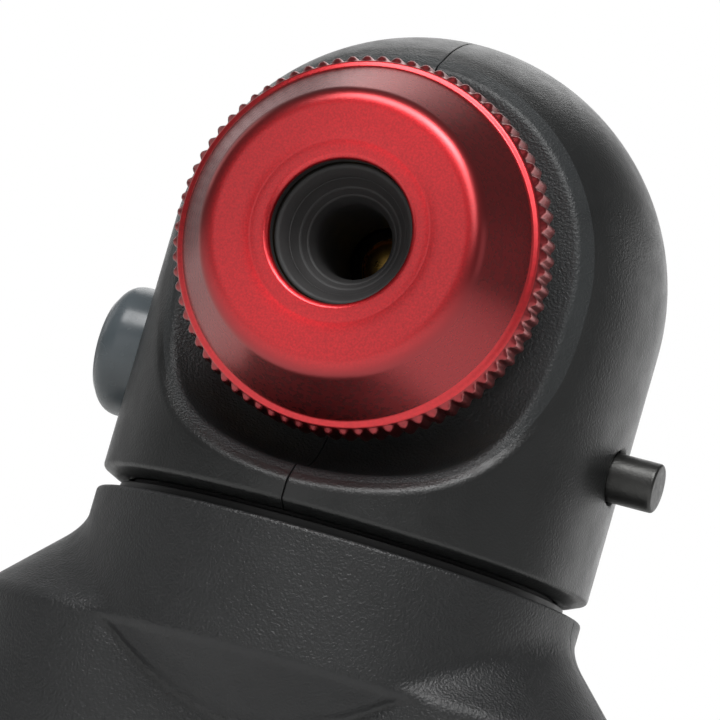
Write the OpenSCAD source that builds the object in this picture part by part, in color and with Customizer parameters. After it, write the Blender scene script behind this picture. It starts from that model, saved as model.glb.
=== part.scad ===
// Cordless tire inflator: flattened bottle body, round neck, swivelling head
// with a twist-lock chuck. Millimetres, +Z up the neck, the chuck faces -Y,
// and the origin is the middle of the foot pad's underside.

/* [Body] */
// Width of the body across its two round ends
body_w = 55; // [54:0.5:60]
// Depth of the body, and diameter of its round ends
body_d = 31; // [30.5:0.1:31.4]
// Room between the pump's top and the edge where the shoulders start
top_room = 1.1; // [1.1:0.1:6]
// Rise of the neck's top face above the shoulder edge
neck_rise = 10; // [9.6:0.2:13]
// Diameter of the neck
neck_d = 40; // [39:0.5:44]
// Height of the sloping panel under the neck's front and back
scoop_h = 5.3; // [4:0.1:7]
// Thickness of the case walls
wall = 2; // [1.6:0.1:2]
// Thickness of the neck's top plate
neck_plate_t = 2.2; // [1.8:0.1:2.4]
// Height of the base cap's visible rim
cap_t = 2.8; // [2.4:0.1:4]
// Height of the lip that plugs the base cap into the case
cap_lip_h = 3; // [2:0.25:4]
// Thickness of the rubber foot pad
foot_t = 1.2; // [0.8:0.1:2]
// Distance of the foot pad's edge from the body's edge
foot_inset = 3; // [2:0.25:5]

/* [Head] */
// Diameter of the head
head_d = 40; // [39:0.5:44]
// Gap between the neck's top and the head's lower rim
swivel_gap = 1.8; // [1.6:0.1:2.4]
// Height of the chuck axis above the head's lower rim
chuck_rise = 20.5; // [20.5:0.25:24]
// Distance of the flat front face from the neck axis
front_y = 12.1; // [12:0.1:13]
// Radius of the round pocket that the collar stands in
pocket_r = 23.8; // [23.4:0.2:24.4]
// Height of the pocket's middle above the chuck axis
pocket_up = 6.2; // [5.6:0.2:6.6]
// Radius of the fillet between the pocket's floor and its wall
pocket_fillet = 3; // [2:0.25:4]
// Height of the bevel at the head's lower rim
rim_bevel = 1.2; // [0.6:0.1:1.6]
// Height of the release spool above the head's lower rim
spool_rise = 9.8; // [9:0.1:10.4]
// Thickness of the swivel ring's visible edge
ring_t = 1.2; // [0.8:0.1:1.3]
// Inset of the swivel ring's edge from the neck's surface
ring_inset = 1.3; // [0.8:0.1:2]

/* [Chuck] */
// Diameter over the collar's knurl
collar_d = 30; // [29.6:0.2:31]
// Number of knurl teeth
knurl_n = 77; // [48:1:90]
// Depth of a knurl tooth
knurl_t = 0.35; // [0.2:0.05:0.5]
// Distance of the collar's front face from the neck axis
collar_y = 25.2; // [25:0.1:26]
// Length of the collar from its back to its front face
collar_len = 10.5; // [10:0.1:10.5]
// Height of the cone between the knurled lip and the front face
cone_h = 5.6; // [5:0.1:6]
// Diameter of the collar's front face
face_d = 21.6; // [20:0.2:22.4]
// Diameter of the mouth in the collar
mouth_d = 11.3; // [11:0.1:11.6]
// Thickness of the collar's front wall
front_wall = 1.5; // [1.2:0.1:1.8]
// Diameter of the barrel's outer thread
barrel_d = 20; // [19.6:0.1:20.4]
// Diameter of the hole in the rubber grommet
stem_hole_d = 5.9; // [5.4:0.1:6.4]
// Diameter of the grommet's wider front step
step_d = 9.2; // [8.4:0.1:9.8]
// Travel of the collar over half a turn
collar_travel = 1.5; // [1:0.1:1.6]

/* [Release spool] */
// Diameter of the spool, and of the end that stands out on the right
spool_d = 4; // [3.6:0.1:4.4]
// Length of the spool that stands out of the head
spool_out = 3.6; // [3:0.1:4.4]
// Diameter of the release button
button_d = 10.3; // [9.6:0.1:10.8]
// Length of the button that stands out of the head
button_out = 4.3; // [3.6:0.1:5]
// Rise of the button's dome
button_dome = 1.5; // [0.8:0.1:2]
// Travel of the release button
button_travel = 3; // [2:0.1:3]

/* [Pump] */
// Bore of the pump cylinder
bore_d = 17; // [16:0.2:17]
// Radius of the crank, half the piston's stroke
crank_r = 3; // [2.8:0.1:3.2]
// Length of the connecting rod between its pins
rod_len = 20; // [20:0.2:22]
// Module of the gears
gear_m = 0.5; // [0.45:0.01:0.5]
// Teeth of the crank gear
gear_teeth = 44; // [40:2:44]
// Teeth of the motor pinion
pinion_teeth = 10; // [10:1:12]
// Width of the gears' teeth
gear_w = 3.4; // [2.6:0.1:3.4]
// Diameter of the motor
motor_d = 20; // [18:0.2:20]
// Gap between the motor's contacts and the case wall
motor_gap = 2.7; // [2.7:0.1:6]
// Distance of the cylinder's axis from the body's side
pump_inset = 16.5; // [16.5:0.1:17]

/* [Power] */
// Room between the circuit board and the battery cells
cell_front_gap = 2.4; // [2.4:0.1:3.4]
// Gap between the battery tray's back and the case wall
tray_gap = 0.6; // [0.5:0.1:1.2]
// Length of a battery cell
cell_len = 65; // [60:0.5:65]
// Width of the display window
window_w = 24; // [18:0.5:24]
// Height of the display window
window_h = 13; // [10:0.5:16]
// Height of the display's middle above the base
window_z = 58; // [54:0.5:62]
// Height of the button row above the base
keys_z = 38; // [30:0.5:42]
// Distance between neighbouring buttons
key_pitch = 9.6; // [9.4:0.1:9.8]
// Diameter of the power button
power_d = 8.4; // [7.4:0.1:8.6]
// Diameter of the two set buttons
set_d = 6.8; // [5.8:0.1:7]
// Travel of the small buttons
key_travel = 0.5; // [0.3:0.05:0.5]

/* [Clearances] */
// Radial clearance of a shaft in its bore
running = 0.05; // [0.03:0.01:0.08]
// Gap round pieces that only pass through a hole
free_gap = 0.3; // [0.25:0.05:0.4]
// Gap round pieces that seat in a pocket
seat_gap = 0.1; // [0.05:0.01:0.15]

/* [Hidden] */
$fn = 96;

black = [0.16, 0.16, 0.17];
slate = [0.30, 0.32, 0.33];
steel = [0.72, 0.73, 0.75];
alloy = [0.62, 0.63, 0.65];
brass_c = [0.80, 0.64, 0.28];
red_c = [0.85, 0.20, 0.23];
rubber_c = [0.10, 0.10, 0.10];
big = 80;

// Body stations
body_r = body_d / 2;
end_x = (body_w - body_d) / 2;
neck_r = neck_d / 2;
case_z0 = foot_t + cap_t;
cap_bevel = 0.8;
cap_lip_t = 1.6;
window_t = 1.1;

// Screws: the hex sockets, and the slack in threads, holes and head pockets
boss_r = 2.6;
screw_r = 1.1;
screw_head_r = 2.1;
screw_head_h = 1.4;
screw_sink = 2.6;
screw_len = 6;
hex_r = 0.9;
hex_deep = 0.8;
thread_slack = 0.02;
hole_slack = 0.15;
head_slack = 0.2;
base_screw_x = 17;
base_screw_z = foot_t + 0.1;
small_screw_r = 0.8;
small_head_r = 1.6;
small_head_h = 0.9;

// Battery and board stations
tray_t = 1.4;
tab_t = 0.3;
tab_w = 7;
tray_z0 = case_z0 + cap_lip_h + 0.5;
cell_z0 = tray_z0 + tray_t + tab_t;
tray_z1 = cell_z0 + cell_len + tab_t;
tray_top = tray_z1 + tray_t;
tray_back_t = 1.2;
board_t = 1.2;
board_y = -body_r + wall + 2.9;
board_w = 34;
board_z0 = tray_z0 + 0.1;
board_z1 = tray_z1 - 1;
port_w = 8.9;
port_h = 3.2;
port_deep = 6;
port_y = board_y + board_t;
tray_back_y = body_r - wall - tray_gap - tray_back_t;
cell_front = port_y + cell_front_gap;
cell_back = tray_back_y - 0.3;
cell_d = cell_back - cell_front;
cell_y = (cell_back + cell_front) / 2;
cell_x = cell_d / 2 + 0.3;
key_r = [set_d / 2, power_d / 2, set_d / 2];
key_proud = 0.6;
key_flange = 0.8;
key_y1 = -body_r + wall + 0.3;
switch_h = 1;
switch_w = 3.2;

// Pump stations
pump_x = body_w / 2 - pump_inset;
motor_r = motor_d / 2;
motor_z = tray_top + 2 * boss_r + motor_r + 0.8;
gear_dist = gear_m * (gear_teeth + pinion_teeth) / 2;
gear_z = motor_z + gear_dist;
gear_tip_r = gear_m * (gear_teeth / 2 + 1);
frame_t = 1.6;
frame_w = 16;
brush_t = 1.4;
brush_lug = 1;
nose_r = 3;
shaft_r = 1;
motor_screw_r = 1;
motor_screw_y = 6;
shelf_z0 = gear_z + gear_tip_r + 0.5;
cyl_z0 = shelf_z0 + frame_t;
rod_t = 2.4;
gear_gap = 0.4;
gear_x1 = pump_x - rod_t / 2 - gear_gap;
gear_x0 = gear_x1 - gear_w;
frame_x1 = gear_x0 - gear_gap;
frame_x0 = frame_x1 - frame_t;
motor_len = frame_x0 + body_w / 2 - wall - brush_t - brush_lug - motor_gap;
axle_r = 1.4;
crank_pin_r = 1.1;
crank_pin_x0 = gear_x0 + 0.8;
rod_big_r = 2.6;
rod_small_r = 2.4;
rod_web = 2.8;
wrist_r = 1.1;
wrist_len = 10.4;
wrist_z = gear_z + crank_r + rod_len;
bore_r = bore_d / 2;
cyl_wall = 1.2;
piston_r = bore_r - running;
crown_rise = 5.6;
crown_t = 2;
skirt_drop = 4.5;
piston_wall = 1.25;
groove_t = 1;
groove_deep = 0.9;
groove_z0 = crown_rise - 0.6 - groove_t;
cyl_z1 = wrist_z + crown_rise + 0.5;
gasket_t = 0.6;
pump_head_z0 = cyl_z1 + gasket_t;
pump_head_t = 4;
pump_head_z1 = pump_head_z0 + pump_head_t;
bolt_r = 1.1;
bolt_head_r = 1.7;
bolt_head_z = pump_head_z1 - 1.4;
hub_r = 6;
duct_r = 0.9;
duct_z = pump_head_z0 + 2.4;
reed_r = 3;
reed_room = 0.9;
bolt_ring_r = bore_r + cyl_wall + 1.9;

// Shoulder and neck stations
edge_h = pump_head_z1 + top_room;
neck_top = edge_h + neck_rise;
neck_low = edge_h - 0.4;
rim_z = neck_top + swivel_gap;

// Swivel stations
boss_top_r = 8;
ring_foot_in = 1.2;
block_z0 = rim_z + 2.2;
flange_r = 10.5;
flange_t = 2.5;
flange_z1 = neck_top - neck_plate_t - free_gap;
flange_z0 = flange_z1 - flange_t;
stem_r = 4;
stem_bore_r = 1.2;
stem_ring_z = [rim_z - 2.2, rim_z + 1.8];
stem_z1 = rim_z + 3.6;
socket_z0 = pump_head_z0 + 1;
socket_z1 = pump_head_z1 + 2.2;
spigot_r = 3.5;

// Head and chuck stations, distances along the chuck axis from the neck axis
head_r = head_d / 2;
chuck_z = rim_z + chuck_rise;
spool_z = rim_z + spool_rise;
block_w = 18;
block_f = 9.5;
block_top = chuck_z + 8;
barrel_r = barrel_d / 2;
barrel_root_r = 8;
barrel_back = 2;
spring_seat = -2;
collar_back = collar_y - collar_len;
lip_y = collar_y - cone_h;
wall_in = collar_y - front_wall;
washer_t = 0.8;
washer_gap = 0.05;
pocket_y = wall_in - washer_t - 0.3;
barrel_front = pocket_y - collar_travel - free_gap;
grommet_back = 10.1;
grommet_r = 7;
grommet_front = wall_in - washer_t - 2 * washer_gap;
funnel_h = 1.6;
step_h = 1.2;
socket_y = wall_in - funnel_h - step_h - 1;
depressor_r = 1.5;
core_bore_r = 3.5;
core_coil_r = 2.6;
seal_t = 0.6;
depressor_tip = 9.6;
depressor_flange = 7.6;

spool_r = spool_d / 2;
spool_tip = head_r + spool_out;
button_tip = head_r + button_out;
button_r = button_d / 2;
button_back = button_tip - button_dome - button_travel - 3.3;
clip_x = block_w / 2 + seat_gap;
clip_t = 0.7;
spring_pocket = 2;
spool_coil_r = 3.2;
spool_ring_x = [-4.2, 4.2];
spool_edge = 0.3;
button_grip = 3;

// Places of the case screws: x, z
case_screw_at = [
    for (s = [-1, 1], z = [case_z0 + cap_lip_h + 5, tray_top + boss_r + 0.3]) [s * (body_w / 2 - 5.5), z],
    for (s = [-1, 1]) [s * 14, edge_h + 3]
];
// Places of the head screws: y, height above the chuck axis
head_screw_at = [[12.6, 6 - chuck_rise], [12.6, 4], [4, 13.5]];
board_screw_at = [for (s = [-1, 1], z = [tray_z0 + 9, tray_z1 - 8]) [s * 14, z]];

// Half the body's depth at a given x and height
function half_depth(x, z) =
    z > edge_h ? sqrt(pow(neck_r, 2) - x * x)
               : sqrt(pow(body_r, 2) - pow(max(0, abs(x) - end_x), 2));
// Half the head's width at a given y and height above the chuck axis
function half_width(y, up) = sqrt(pow(head_r, 2) - y * y - pow(max(0, up), 2));

module along_x(x0, x1, r) {
    translate([x0, 0, 0]) rotate([0, 90, 0]) cylinder(h = x1 - x0, r = r);
}
module along_y(y0, y1, r) {
    translate([0, y0, 0]) rotate([-90, 0, 0]) cylinder(h = y1 - y0, r = r);
}
module tube(z0, z1, r_out, r_in) {
    translate([0, 0, z0]) difference() {
        cylinder(h = z1 - z0, r = r_out);
        translate([0, 0, -1]) cylinder(h = z1 - z0 + 2, r = r_in);
    }
}
// Local +Z runs out of the chuck's mouth
module on_chuck() {
    translate([0, 0, chuck_z]) rotate([90, 0, 0]) children();
}
// Local +Z runs to the right along the release spool
module on_spool() {
    translate([0, 0, spool_z]) rotate([0, 90, 0]) children();
}
module o_ring(z, mean_r, cord_r) {
    translate([0, 0, z]) rotate_extrude() translate([mean_r, 0]) circle(cord_r);
}
module rounded_plate(w, h, t, r) {
    linear_extrude(t) union() {
        square([w - 2 * r, h], center = true);
        square([w, h - 2 * r], center = true);
        for (sx = [-1, 1], sy = [-1, 1])
            translate([sx * (w / 2 - r), sy * (h / 2 - r)]) circle(r);
    }
}

// Body outline: two round ends and the flat stretch between them
module stadium(r) {
    for (s = [-1, 1]) translate([s * end_x, 0]) circle(r);
    square([2 * end_x, 2 * r], center = true);
}
// The stadium drawn in at 45 degrees as it rises
module shoulder(r, z0, h) {
    for (s = [-1, 1])
        translate([s * end_x, 0, z0]) cylinder(h = h, r1 = r, r2 = r - h);
    translate([-end_x, 0, z0]) rotate([90, 0, 90]) linear_extrude(2 * end_x)
        polygon([[-r, 0], [r, 0], [r - h, h], [h - r, h]]);
}
// The whole case's form, drawn in by g, from z0 to z1
module case_form(g, z0, z1) {
    r = body_r - g;
    edge = edge_h - g * (sqrt(2) - 1);
    slope = scoop_h / (neck_r - body_r);
    under = (neck_r - body_r + 2) * slope;
    translate([0, 0, z0]) linear_extrude(edge - z0) stadium(r);
    shoulder(r, edge, min(r - 1, z1 - edge));
    translate([0, 0, neck_low]) cylinder(h = z1 - neck_low, r = neck_r - g);
    translate([0, 0, neck_low - under])
        cylinder(h = under, r1 = body_r - 2 - g, r2 = neck_r - g);
}
module half_space(side) {
    translate([-big, side > 0 ? 0 : -2 * big, -big]) cube([2 * big, 2 * big, 4 * big]);
}
module case_shell(side) {
    difference() {
        intersection() {
            union() {
                difference() {
                    case_form(0, case_z0, neck_top);
                    case_form(wall, case_z0 - 1, neck_top - neck_plate_t);
                }
                intersection() {
                    case_form(wall / 2, case_z0, neck_top - 1);
                    for (p = case_screw_at)
                        translate([p[0], 0, p[1]]) along_y(-big / 2, big / 2, boss_r);
                }
            }
            half_space(side);
        }
        translate([0, 0, neck_top - neck_plate_t - 1])
            cylinder(h = neck_plate_t + 2, r = boss_top_r + free_gap);
    }
}
module body_front_shell() {
    color(black) difference() {
        union() {
            case_shell(-1);
            for (p = board_screw_at)
                translate([p[0], 0, p[1]]) along_y(-body_r + wall / 2, board_y, 2);
        }
        for (p = case_screw_at)
            translate([p[0], 0, p[1]]) along_y(-screw_len - 1, 1, screw_r);
        for (p = board_screw_at)
            translate([p[0], 0, p[1]]) along_y(-body_r + 1.6, board_y + 1, small_screw_r);
        translate([0, -body_r + window_t, window_z]) rotate([90, 0, 0])
            rounded_plate(window_w, window_h, big, 2);
        translate([0, -body_r + wall + 1, window_z]) rotate([90, 0, 0])
            rounded_plate(window_w - 3, window_h - 3, wall + 2, 1.2);
        for (i = [-1:1])
            translate([i * key_pitch, 0, keys_z]) along_y(-body_r - 1, -body_r + wall + 1,
                key_r[i + 1] + 0.2);
    }
}
module body_back_shell() {
    color(black) difference() {
        case_shell(1);
        for (p = case_screw_at) {
            translate([p[0], 0, p[1]]) along_y(-1, big / 2, screw_r + hole_slack);
            translate([p[0], 0, p[1]])
                along_y(half_depth(p[0], p[1]) - screw_sink, big / 2, screw_head_r + head_slack);
        }
    }
}
module case_screws() {
    color(steel) for (p = case_screw_at) {
        seat = half_depth(p[0], p[1]) - screw_sink;
        translate([p[0], 0, p[1]]) difference() {
            union() {
                along_y(-screw_len, seat + 0.2, screw_r - thread_slack);
                along_y(seat, seat + screw_head_h, screw_head_r);
            }
            along_y(seat + screw_head_h - hex_deep, seat + screw_head_h + 1, hex_r, $fn = 6);
        }
    }
}
module base_cap() {
    color(black) difference() {
        union() {
            translate([0, 0, foot_t + cap_bevel]) linear_extrude(cap_t - cap_bevel) stadium(body_r);
            translate([0, 0, foot_t + cap_bevel]) mirror([0, 0, 1]) shoulder(body_r, 0, cap_bevel);
            translate([0, 0, case_z0 - 0.5]) linear_extrude(cap_lip_h + 0.5) difference() {
                stadium(body_r - wall - seat_gap);
                stadium(body_r - wall - cap_lip_t);
            }
            for (s = [-1, 1]) translate([s * base_screw_x, cell_y, case_z0 - 0.5])
                cylinder(h = tray_z0 - case_z0 + 0.5, r = boss_r);
        }
        translate([0, port_y + port_h / 2, 0]) rounded_plate(port_w + 0.5, port_h + 0.5, 10, 1.2);
        for (s = [-1, 1]) translate([s * base_screw_x, cell_y, 0]) {
            cylinder(h = big, r = screw_r + hole_slack);
            cylinder(h = base_screw_z + screw_head_h, r = screw_head_r + head_slack);
        }
    }
}
module base_screws() {
    color(steel) for (s = [-1, 1])
        translate([s * base_screw_x, cell_y, base_screw_z]) difference() {
            union() {
                cylinder(h = tray_z0 + tray_t - 0.2 - base_screw_z, r = screw_r - thread_slack);
                cylinder(h = screw_head_h, r = screw_head_r);
            }
            translate([0, 0, -1]) cylinder(h = 1 + hex_deep, r = hex_r, $fn = 6);
        }
}
module foot_pad() {
    color(rubber_c) difference() {
        linear_extrude(foot_t) stadium(body_r - foot_inset);
        translate([0, port_y + port_h / 2, -1]) rounded_plate(port_w + 2, port_h + 2, 4, 1.6);
    }
}
module swivel_ring() {
    ring_z0 = rim_z - (swivel_gap - ring_t) / 2 - ring_t;
    color(slate) {
        tube(neck_top, ring_z0 + ring_t, neck_r - ring_inset - ring_foot_in, boss_top_r + free_gap);
        tube(ring_z0, ring_z0 + ring_t, neck_r - ring_inset, neck_r - ring_inset - 2 * ring_foot_in);
    }
}

// Pump
module gear_2d(z, m, phase) {
    pitch = m * z / 2;
    base = pitch * cos(20);
    tip = pitch + m;
    root = pitch - 1.25 * m;
    slack = 3.2 / z;
    function inv(r) = tan(acos(base / max(r, base))) * 180 / PI - acos(base / max(r, base));
    function half(r) = 90 / z - slack + inv(pitch) - inv(r);
    radii = [root, max(base, root + 0.02), pitch, tip];
    polygon([
        for (k = [0:z - 1], j = [0:7])
            let (r = radii[j < 4 ? j : 7 - j],
                 a = phase + k * 360 / z + (j < 4 ? -1 : 1) * half(r))
            [r * cos(a), r * sin(a)]
    ]);
}
// A gear whose axis runs along X; the phase is measured from straight down
module gear_x(x0, w, z, m, phase) {
    translate([x0, 0, 0]) rotate([0, 90, 0]) linear_extrude(w) gear_2d(z, m, phase);
}
module crank_gear() {
    color("ivory") translate([0, 0, gear_z]) difference() {
        gear_x(gear_x0, gear_w, gear_teeth, gear_m, 0);
        along_x(gear_x0 - 1, gear_x1 + 1, axle_r + running);
        translate([0, 0, crank_r]) along_x(crank_pin_x0, gear_x1 + 1, crank_pin_r);
        translate([0, 0, -gear_tip_r / 2]) along_x(gear_x0 - 1, gear_x1 + 1, 2);
    }
}
module crank_pin() {
    color(steel) translate([0, 0, gear_z + crank_r])
        along_x(crank_pin_x0, pump_x + rod_t / 2 + 0.8, crank_pin_r);
}
module connecting_rod() {
    pin_z = gear_z + crank_r;
    color(alloy) difference() {
        union() {
            translate([0, 0, pin_z]) along_x(pump_x - rod_t / 2, pump_x + rod_t / 2, rod_big_r);
            translate([0, 0, wrist_z]) along_x(pump_x - rod_t / 2, pump_x + rod_t / 2, rod_small_r);
            translate([pump_x - rod_t / 2, -rod_web / 2, pin_z]) cube([rod_t, rod_web, rod_len]);
        }
        translate([0, 0, pin_z]) along_x(0, big, crank_pin_r + running);
        translate([0, 0, wrist_z]) along_x(0, big, wrist_r);
    }
}
module wrist_pin() {
    color(steel) translate([0, 0, wrist_z]) along_x(pump_x - wrist_len / 2, pump_x + wrist_len / 2, wrist_r);
}
module piston() {
    color(alloy) translate([pump_x, 0, wrist_z]) difference() {
        translate([0, 0, -skirt_drop]) cylinder(h = skirt_drop + crown_rise, r = piston_r);
        translate([0, 0, -skirt_drop - 1])
            cylinder(h = skirt_drop + 1 + crown_rise - crown_t, r = piston_r - piston_wall);
        tube(groove_z0, groove_z0 + groove_t, piston_r + 1, piston_r - groove_deep);
    }
}
module piston_ring() {
    color(rubber_c) translate([pump_x, 0, wrist_z])
        tube(groove_z0 + 0.05, groove_z0 + groove_t - 0.05, piston_r + 0.01,
            piston_r - groove_deep + thread_slack);
}
module pump_cylinder() {
    color(alloy) translate([pump_x, 0, 0]) tube(cyl_z0, cyl_z1, bore_r + cyl_wall, bore_r);
}
module head_gasket() {
    color(rubber_c) translate([pump_x, 0, 0])
        tube(cyl_z1, pump_head_z0, bore_r + cyl_wall, bore_r - 0.4);
}
module bolt_places() {
    for (a = [45:90:315])
        translate([pump_x + bolt_ring_r * cos(a), bolt_ring_r * sin(a), 0]) children();
}
module pump_head() {
    color(alloy) difference() {
        union() {
            translate([pump_x, 0, pump_head_z0]) cylinder(h = pump_head_t, r = bore_r + cyl_wall);
            bolt_places() translate([0, 0, pump_head_z0]) cylinder(h = pump_head_t, r = 2.2);
            translate([0, -hub_r, pump_head_z0]) cube([pump_x, 2 * hub_r, pump_head_t]);
            translate([0, 0, pump_head_z0]) cylinder(h = socket_z1 - pump_head_z0, r = hub_r);
        }
        translate([0, 0, socket_z0]) cylinder(h = big, r = spigot_r);
        translate([0, 0, duct_z]) along_x(0, pump_x + duct_r, duct_r);
        translate([pump_x, 0, pump_head_z0 - 1]) cylinder(h = duct_z - pump_head_z0 + 1, r = duct_r);
        translate([pump_x, 0, pump_head_z0 - 1]) cylinder(h = 1 + reed_room, r = reed_r + head_slack);
        bolt_places() {
            translate([0, 0, pump_head_z0 - 1]) cylinder(h = big, r = bolt_r + hole_slack);
            translate([0, 0, bolt_head_z]) cylinder(h = 2, r = bolt_head_r + 0.1);
        }
    }
}
module outlet_reed() {
    color(steel) translate([pump_x, 0, pump_head_z0 + 0.55]) cylinder(h = reed_room - 0.6, r = reed_r);
}
module tie_bolts() {
    color(steel) bolt_places() difference() {
        union() {
            translate([0, 0, shelf_z0])
                cylinder(h = bolt_head_z + 0.2 - shelf_z0, r = bolt_r - thread_slack);
            translate([0, 0, bolt_head_z]) cylinder(h = pump_head_z1 - bolt_head_z, r = bolt_head_r);
        }
        translate([0, 0, pump_head_z1 - hex_deep]) cylinder(h = 2, r = hex_r, $fn = 6);
    }
}
module pump_frame() {
    color(slate) difference() {
        union() {
            translate([0, 0, shelf_z0]) linear_extrude(frame_t) stadium(body_r - wall - seat_gap);
            translate([frame_x0, -frame_w / 2, motor_z - motor_r])
                cube([frame_t, frame_w, shelf_z0 - motor_z + motor_r]);
        }
        translate([pump_x, 0, shelf_z0 - 1]) cylinder(h = 4, r = bore_r);
        bolt_places() translate([0, 0, shelf_z0 - 1]) cylinder(h = 4, r = bolt_r);
        translate([-14, 0, shelf_z0 - 1]) cylinder(h = 4, r = 5);
        translate([0, 0, motor_z]) along_x(frame_x0 - 1, frame_x1 + 1, nose_r + seat_gap);
        for (s = [-1, 1]) translate([0, s * motor_screw_y, motor_z])
            along_x(frame_x0 - 1, frame_x1 + 1, motor_screw_r + hole_slack);
        translate([0, 0, gear_z]) along_x(frame_x0 - 1, frame_x1 + 1, axle_r);
    }
}
module gear_axle() {
    color(steel) translate([0, 0, gear_z]) along_x(frame_x0, gear_x1, axle_r);
}
module motor_can() {
    color(steel) translate([0, 0, motor_z]) difference() {
        union() {
            along_x(frame_x0 - motor_len, frame_x0, motor_r);
            along_x(frame_x0, frame_x1 - 0.3, nose_r);
        }
        along_x(frame_x0 - motor_len + 2, frame_x1 + 1, shaft_r + seat_gap);
        for (s = [-1, 1]) translate([0, s * motor_screw_y, 0])
            along_x(frame_x0 - 3, frame_x0 + 1, motor_screw_r);
    }
}
module motor_end_cap() {
    back = frame_x0 - motor_len;
    color(black) translate([0, 0, motor_z]) {
        along_x(back - brush_t, back, motor_r * 0.66);
        for (s = [-1, 1]) translate([back - brush_t - brush_lug, s * 3 - 0.8, -1.5])
            cube([brush_lug + 0.1, 1.6, 3]);
    }
}
module motor_shaft() {
    color(steel) translate([0, 0, motor_z]) along_x(frame_x0 - motor_len + 2.2, gear_x1, shaft_r);
}
module motor_pinion() {
    color(brass_c) translate([0, 0, motor_z]) difference() {
        gear_x(gear_x0, gear_w, pinion_teeth, gear_m, 180 + 180 / pinion_teeth);
        along_x(gear_x0 - 1, gear_x1 + 1, shaft_r);
    }
}
module motor_screws() {
    color(steel) for (s = [-1, 1]) translate([0, s * motor_screw_y, motor_z]) {
        along_x(frame_x0 - 2.6, frame_x1 + 0.1, motor_screw_r - thread_slack);
        along_x(frame_x1, frame_x1 + small_head_h, small_head_r);
    }
}

// Power
module battery_cells() {
    color([0.15, 0.42, 0.60]) for (s = [-1, 1]) translate([s * cell_x, cell_y, cell_z0]) {
        cylinder(h = cell_len - 1, r = cell_d / 2);
        cylinder(h = cell_len, r = cell_d / 6);
    }
}
module cell_tabs() {
    color(steel) for (z = [cell_z0 - tab_t, cell_z0 + cell_len])
        translate([-cell_x - tab_w / 2, cell_y - tab_w / 2, z]) cube([2 * cell_x + tab_w, tab_w, tab_t]);
}
module tray_plate(z0) {
    translate([0, 0, z0]) linear_extrude(tray_t) intersection() {
        stadium(body_r - wall - seat_gap);
        translate([-big, port_y + 0.4]) square([2 * big, big]);
    }
}
module battery_tray() {
    color([0.86, 0.86, 0.84]) difference() {
        union() {
            tray_plate(tray_z0);
            tray_plate(tray_z1);
            translate([-end_x - 2, tray_back_y, tray_z0])
                cube([2 * end_x + 4, tray_back_t, tray_top - tray_z0]);
        }
        translate([-port_w / 2 - 0.5, -big, tray_z0 - 1]) cube([port_w + 1, big + port_y + port_h + 0.4, 3]);
        for (s = [-1, 1]) translate([s * base_screw_x, cell_y, tray_z0 - 1])
            cylinder(h = 3, r = screw_r);
    }
}
module circuit_board() {
    color([0.07, 0.30, 0.17]) difference() {
        union() {
            translate([-board_w / 2, board_y, board_z0])
                cube([board_w, board_t, board_z1 - board_z0]);
            translate([-6, port_y - 0.1, window_z - 4]) cube([6, 1.1, 6]);
            translate([4, port_y - 0.1, window_z - 14]) cube([4, 1.3, 5]);
            translate([-9, port_y - 0.1, keys_z - 12]) cube([7, 1.3, 4]);
        }
        for (p = board_screw_at)
            translate([p[0], 0, p[1]]) along_y(board_y - 1, board_y + 3, small_screw_r + hole_slack);
    }
}
module board_screws() {
    color(steel) for (p = board_screw_at) translate([p[0], 0, p[1]]) {
        along_y(-body_r + 1.8, port_y + 0.1, small_screw_r - thread_slack);
        along_y(port_y, port_y + small_head_h, small_head_r);
    }
}
module charge_port() {
    color(alloy) translate([0, port_y + port_h / 2, foot_t + 0.6]) difference() {
        rounded_plate(port_w, port_h, tray_z0 + 1 - foot_t, 1.2);
        translate([0, 0, -1]) rounded_plate(port_w - 0.6, port_h - 0.6, port_deep + 1, 1);
    }
}
module display_panel() {
    back = -body_r + wall + 0.1;
    color([0.10, 0.12, 0.14]) translate([-window_w / 2 + 1, back, window_z - window_h / 2 + 1])
        cube([window_w - 2, board_y - 0.05 - back, window_h - 2]);
}
module display_window() {
    color([0.05, 0.05, 0.06]) translate([0, -body_r + window_t, window_z]) rotate([90, 0, 0])
        rounded_plate(window_w - 2 * seat_gap, window_h - 2 * seat_gap, window_t, 1.9);
}
module key_switches() {
    color(steel) for (i = [-1:1])
        translate([i * key_pitch - switch_w / 2, board_y - switch_h, keys_z - switch_w / 2])
            cube([switch_w, switch_h, switch_w]);
}
module key_cap(i) {
    r = key_r[i + 1];
    plunger = board_y - switch_h - key_travel - 0.1;
    color(slate) translate([i * key_pitch, 0, keys_z]) {
        along_y(-body_r - key_proud, key_y1 + 0.1, r);
        along_y(key_y1, key_y1 + 0.7, r + key_flange);
        along_y(key_y1 + 0.6, plunger, 1.4);
    }
}
module power_button() { key_cap(0); }
module minus_button() { key_cap(-1); }
module plus_button() { key_cap(1); }

// Swivel joint
module swivel_stem() {
    color(brass_c) difference() {
        union() {
            translate([0, 0, socket_z0 + 0.4]) cylinder(h = socket_z1 - socket_z0, r = spigot_r);
            translate([0, 0, socket_z1]) cylinder(h = flange_z0 - 1.2 - socket_z1, r = hub_r, $fn = 6);
            translate([0, 0, socket_z1]) cylinder(h = stem_z1 - socket_z1, r = stem_r);
        }
        translate([0, 0, socket_z0]) cylinder(h = big, r = stem_bore_r);
        for (z = stem_ring_z) tube(z - 0.6, z + 0.6, stem_r + 1, stem_r - 0.9);
    }
}
module stem_o_rings() {
    color(rubber_c) for (z = stem_ring_z) o_ring(z, stem_r - 0.45, 0.43);
}

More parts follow.
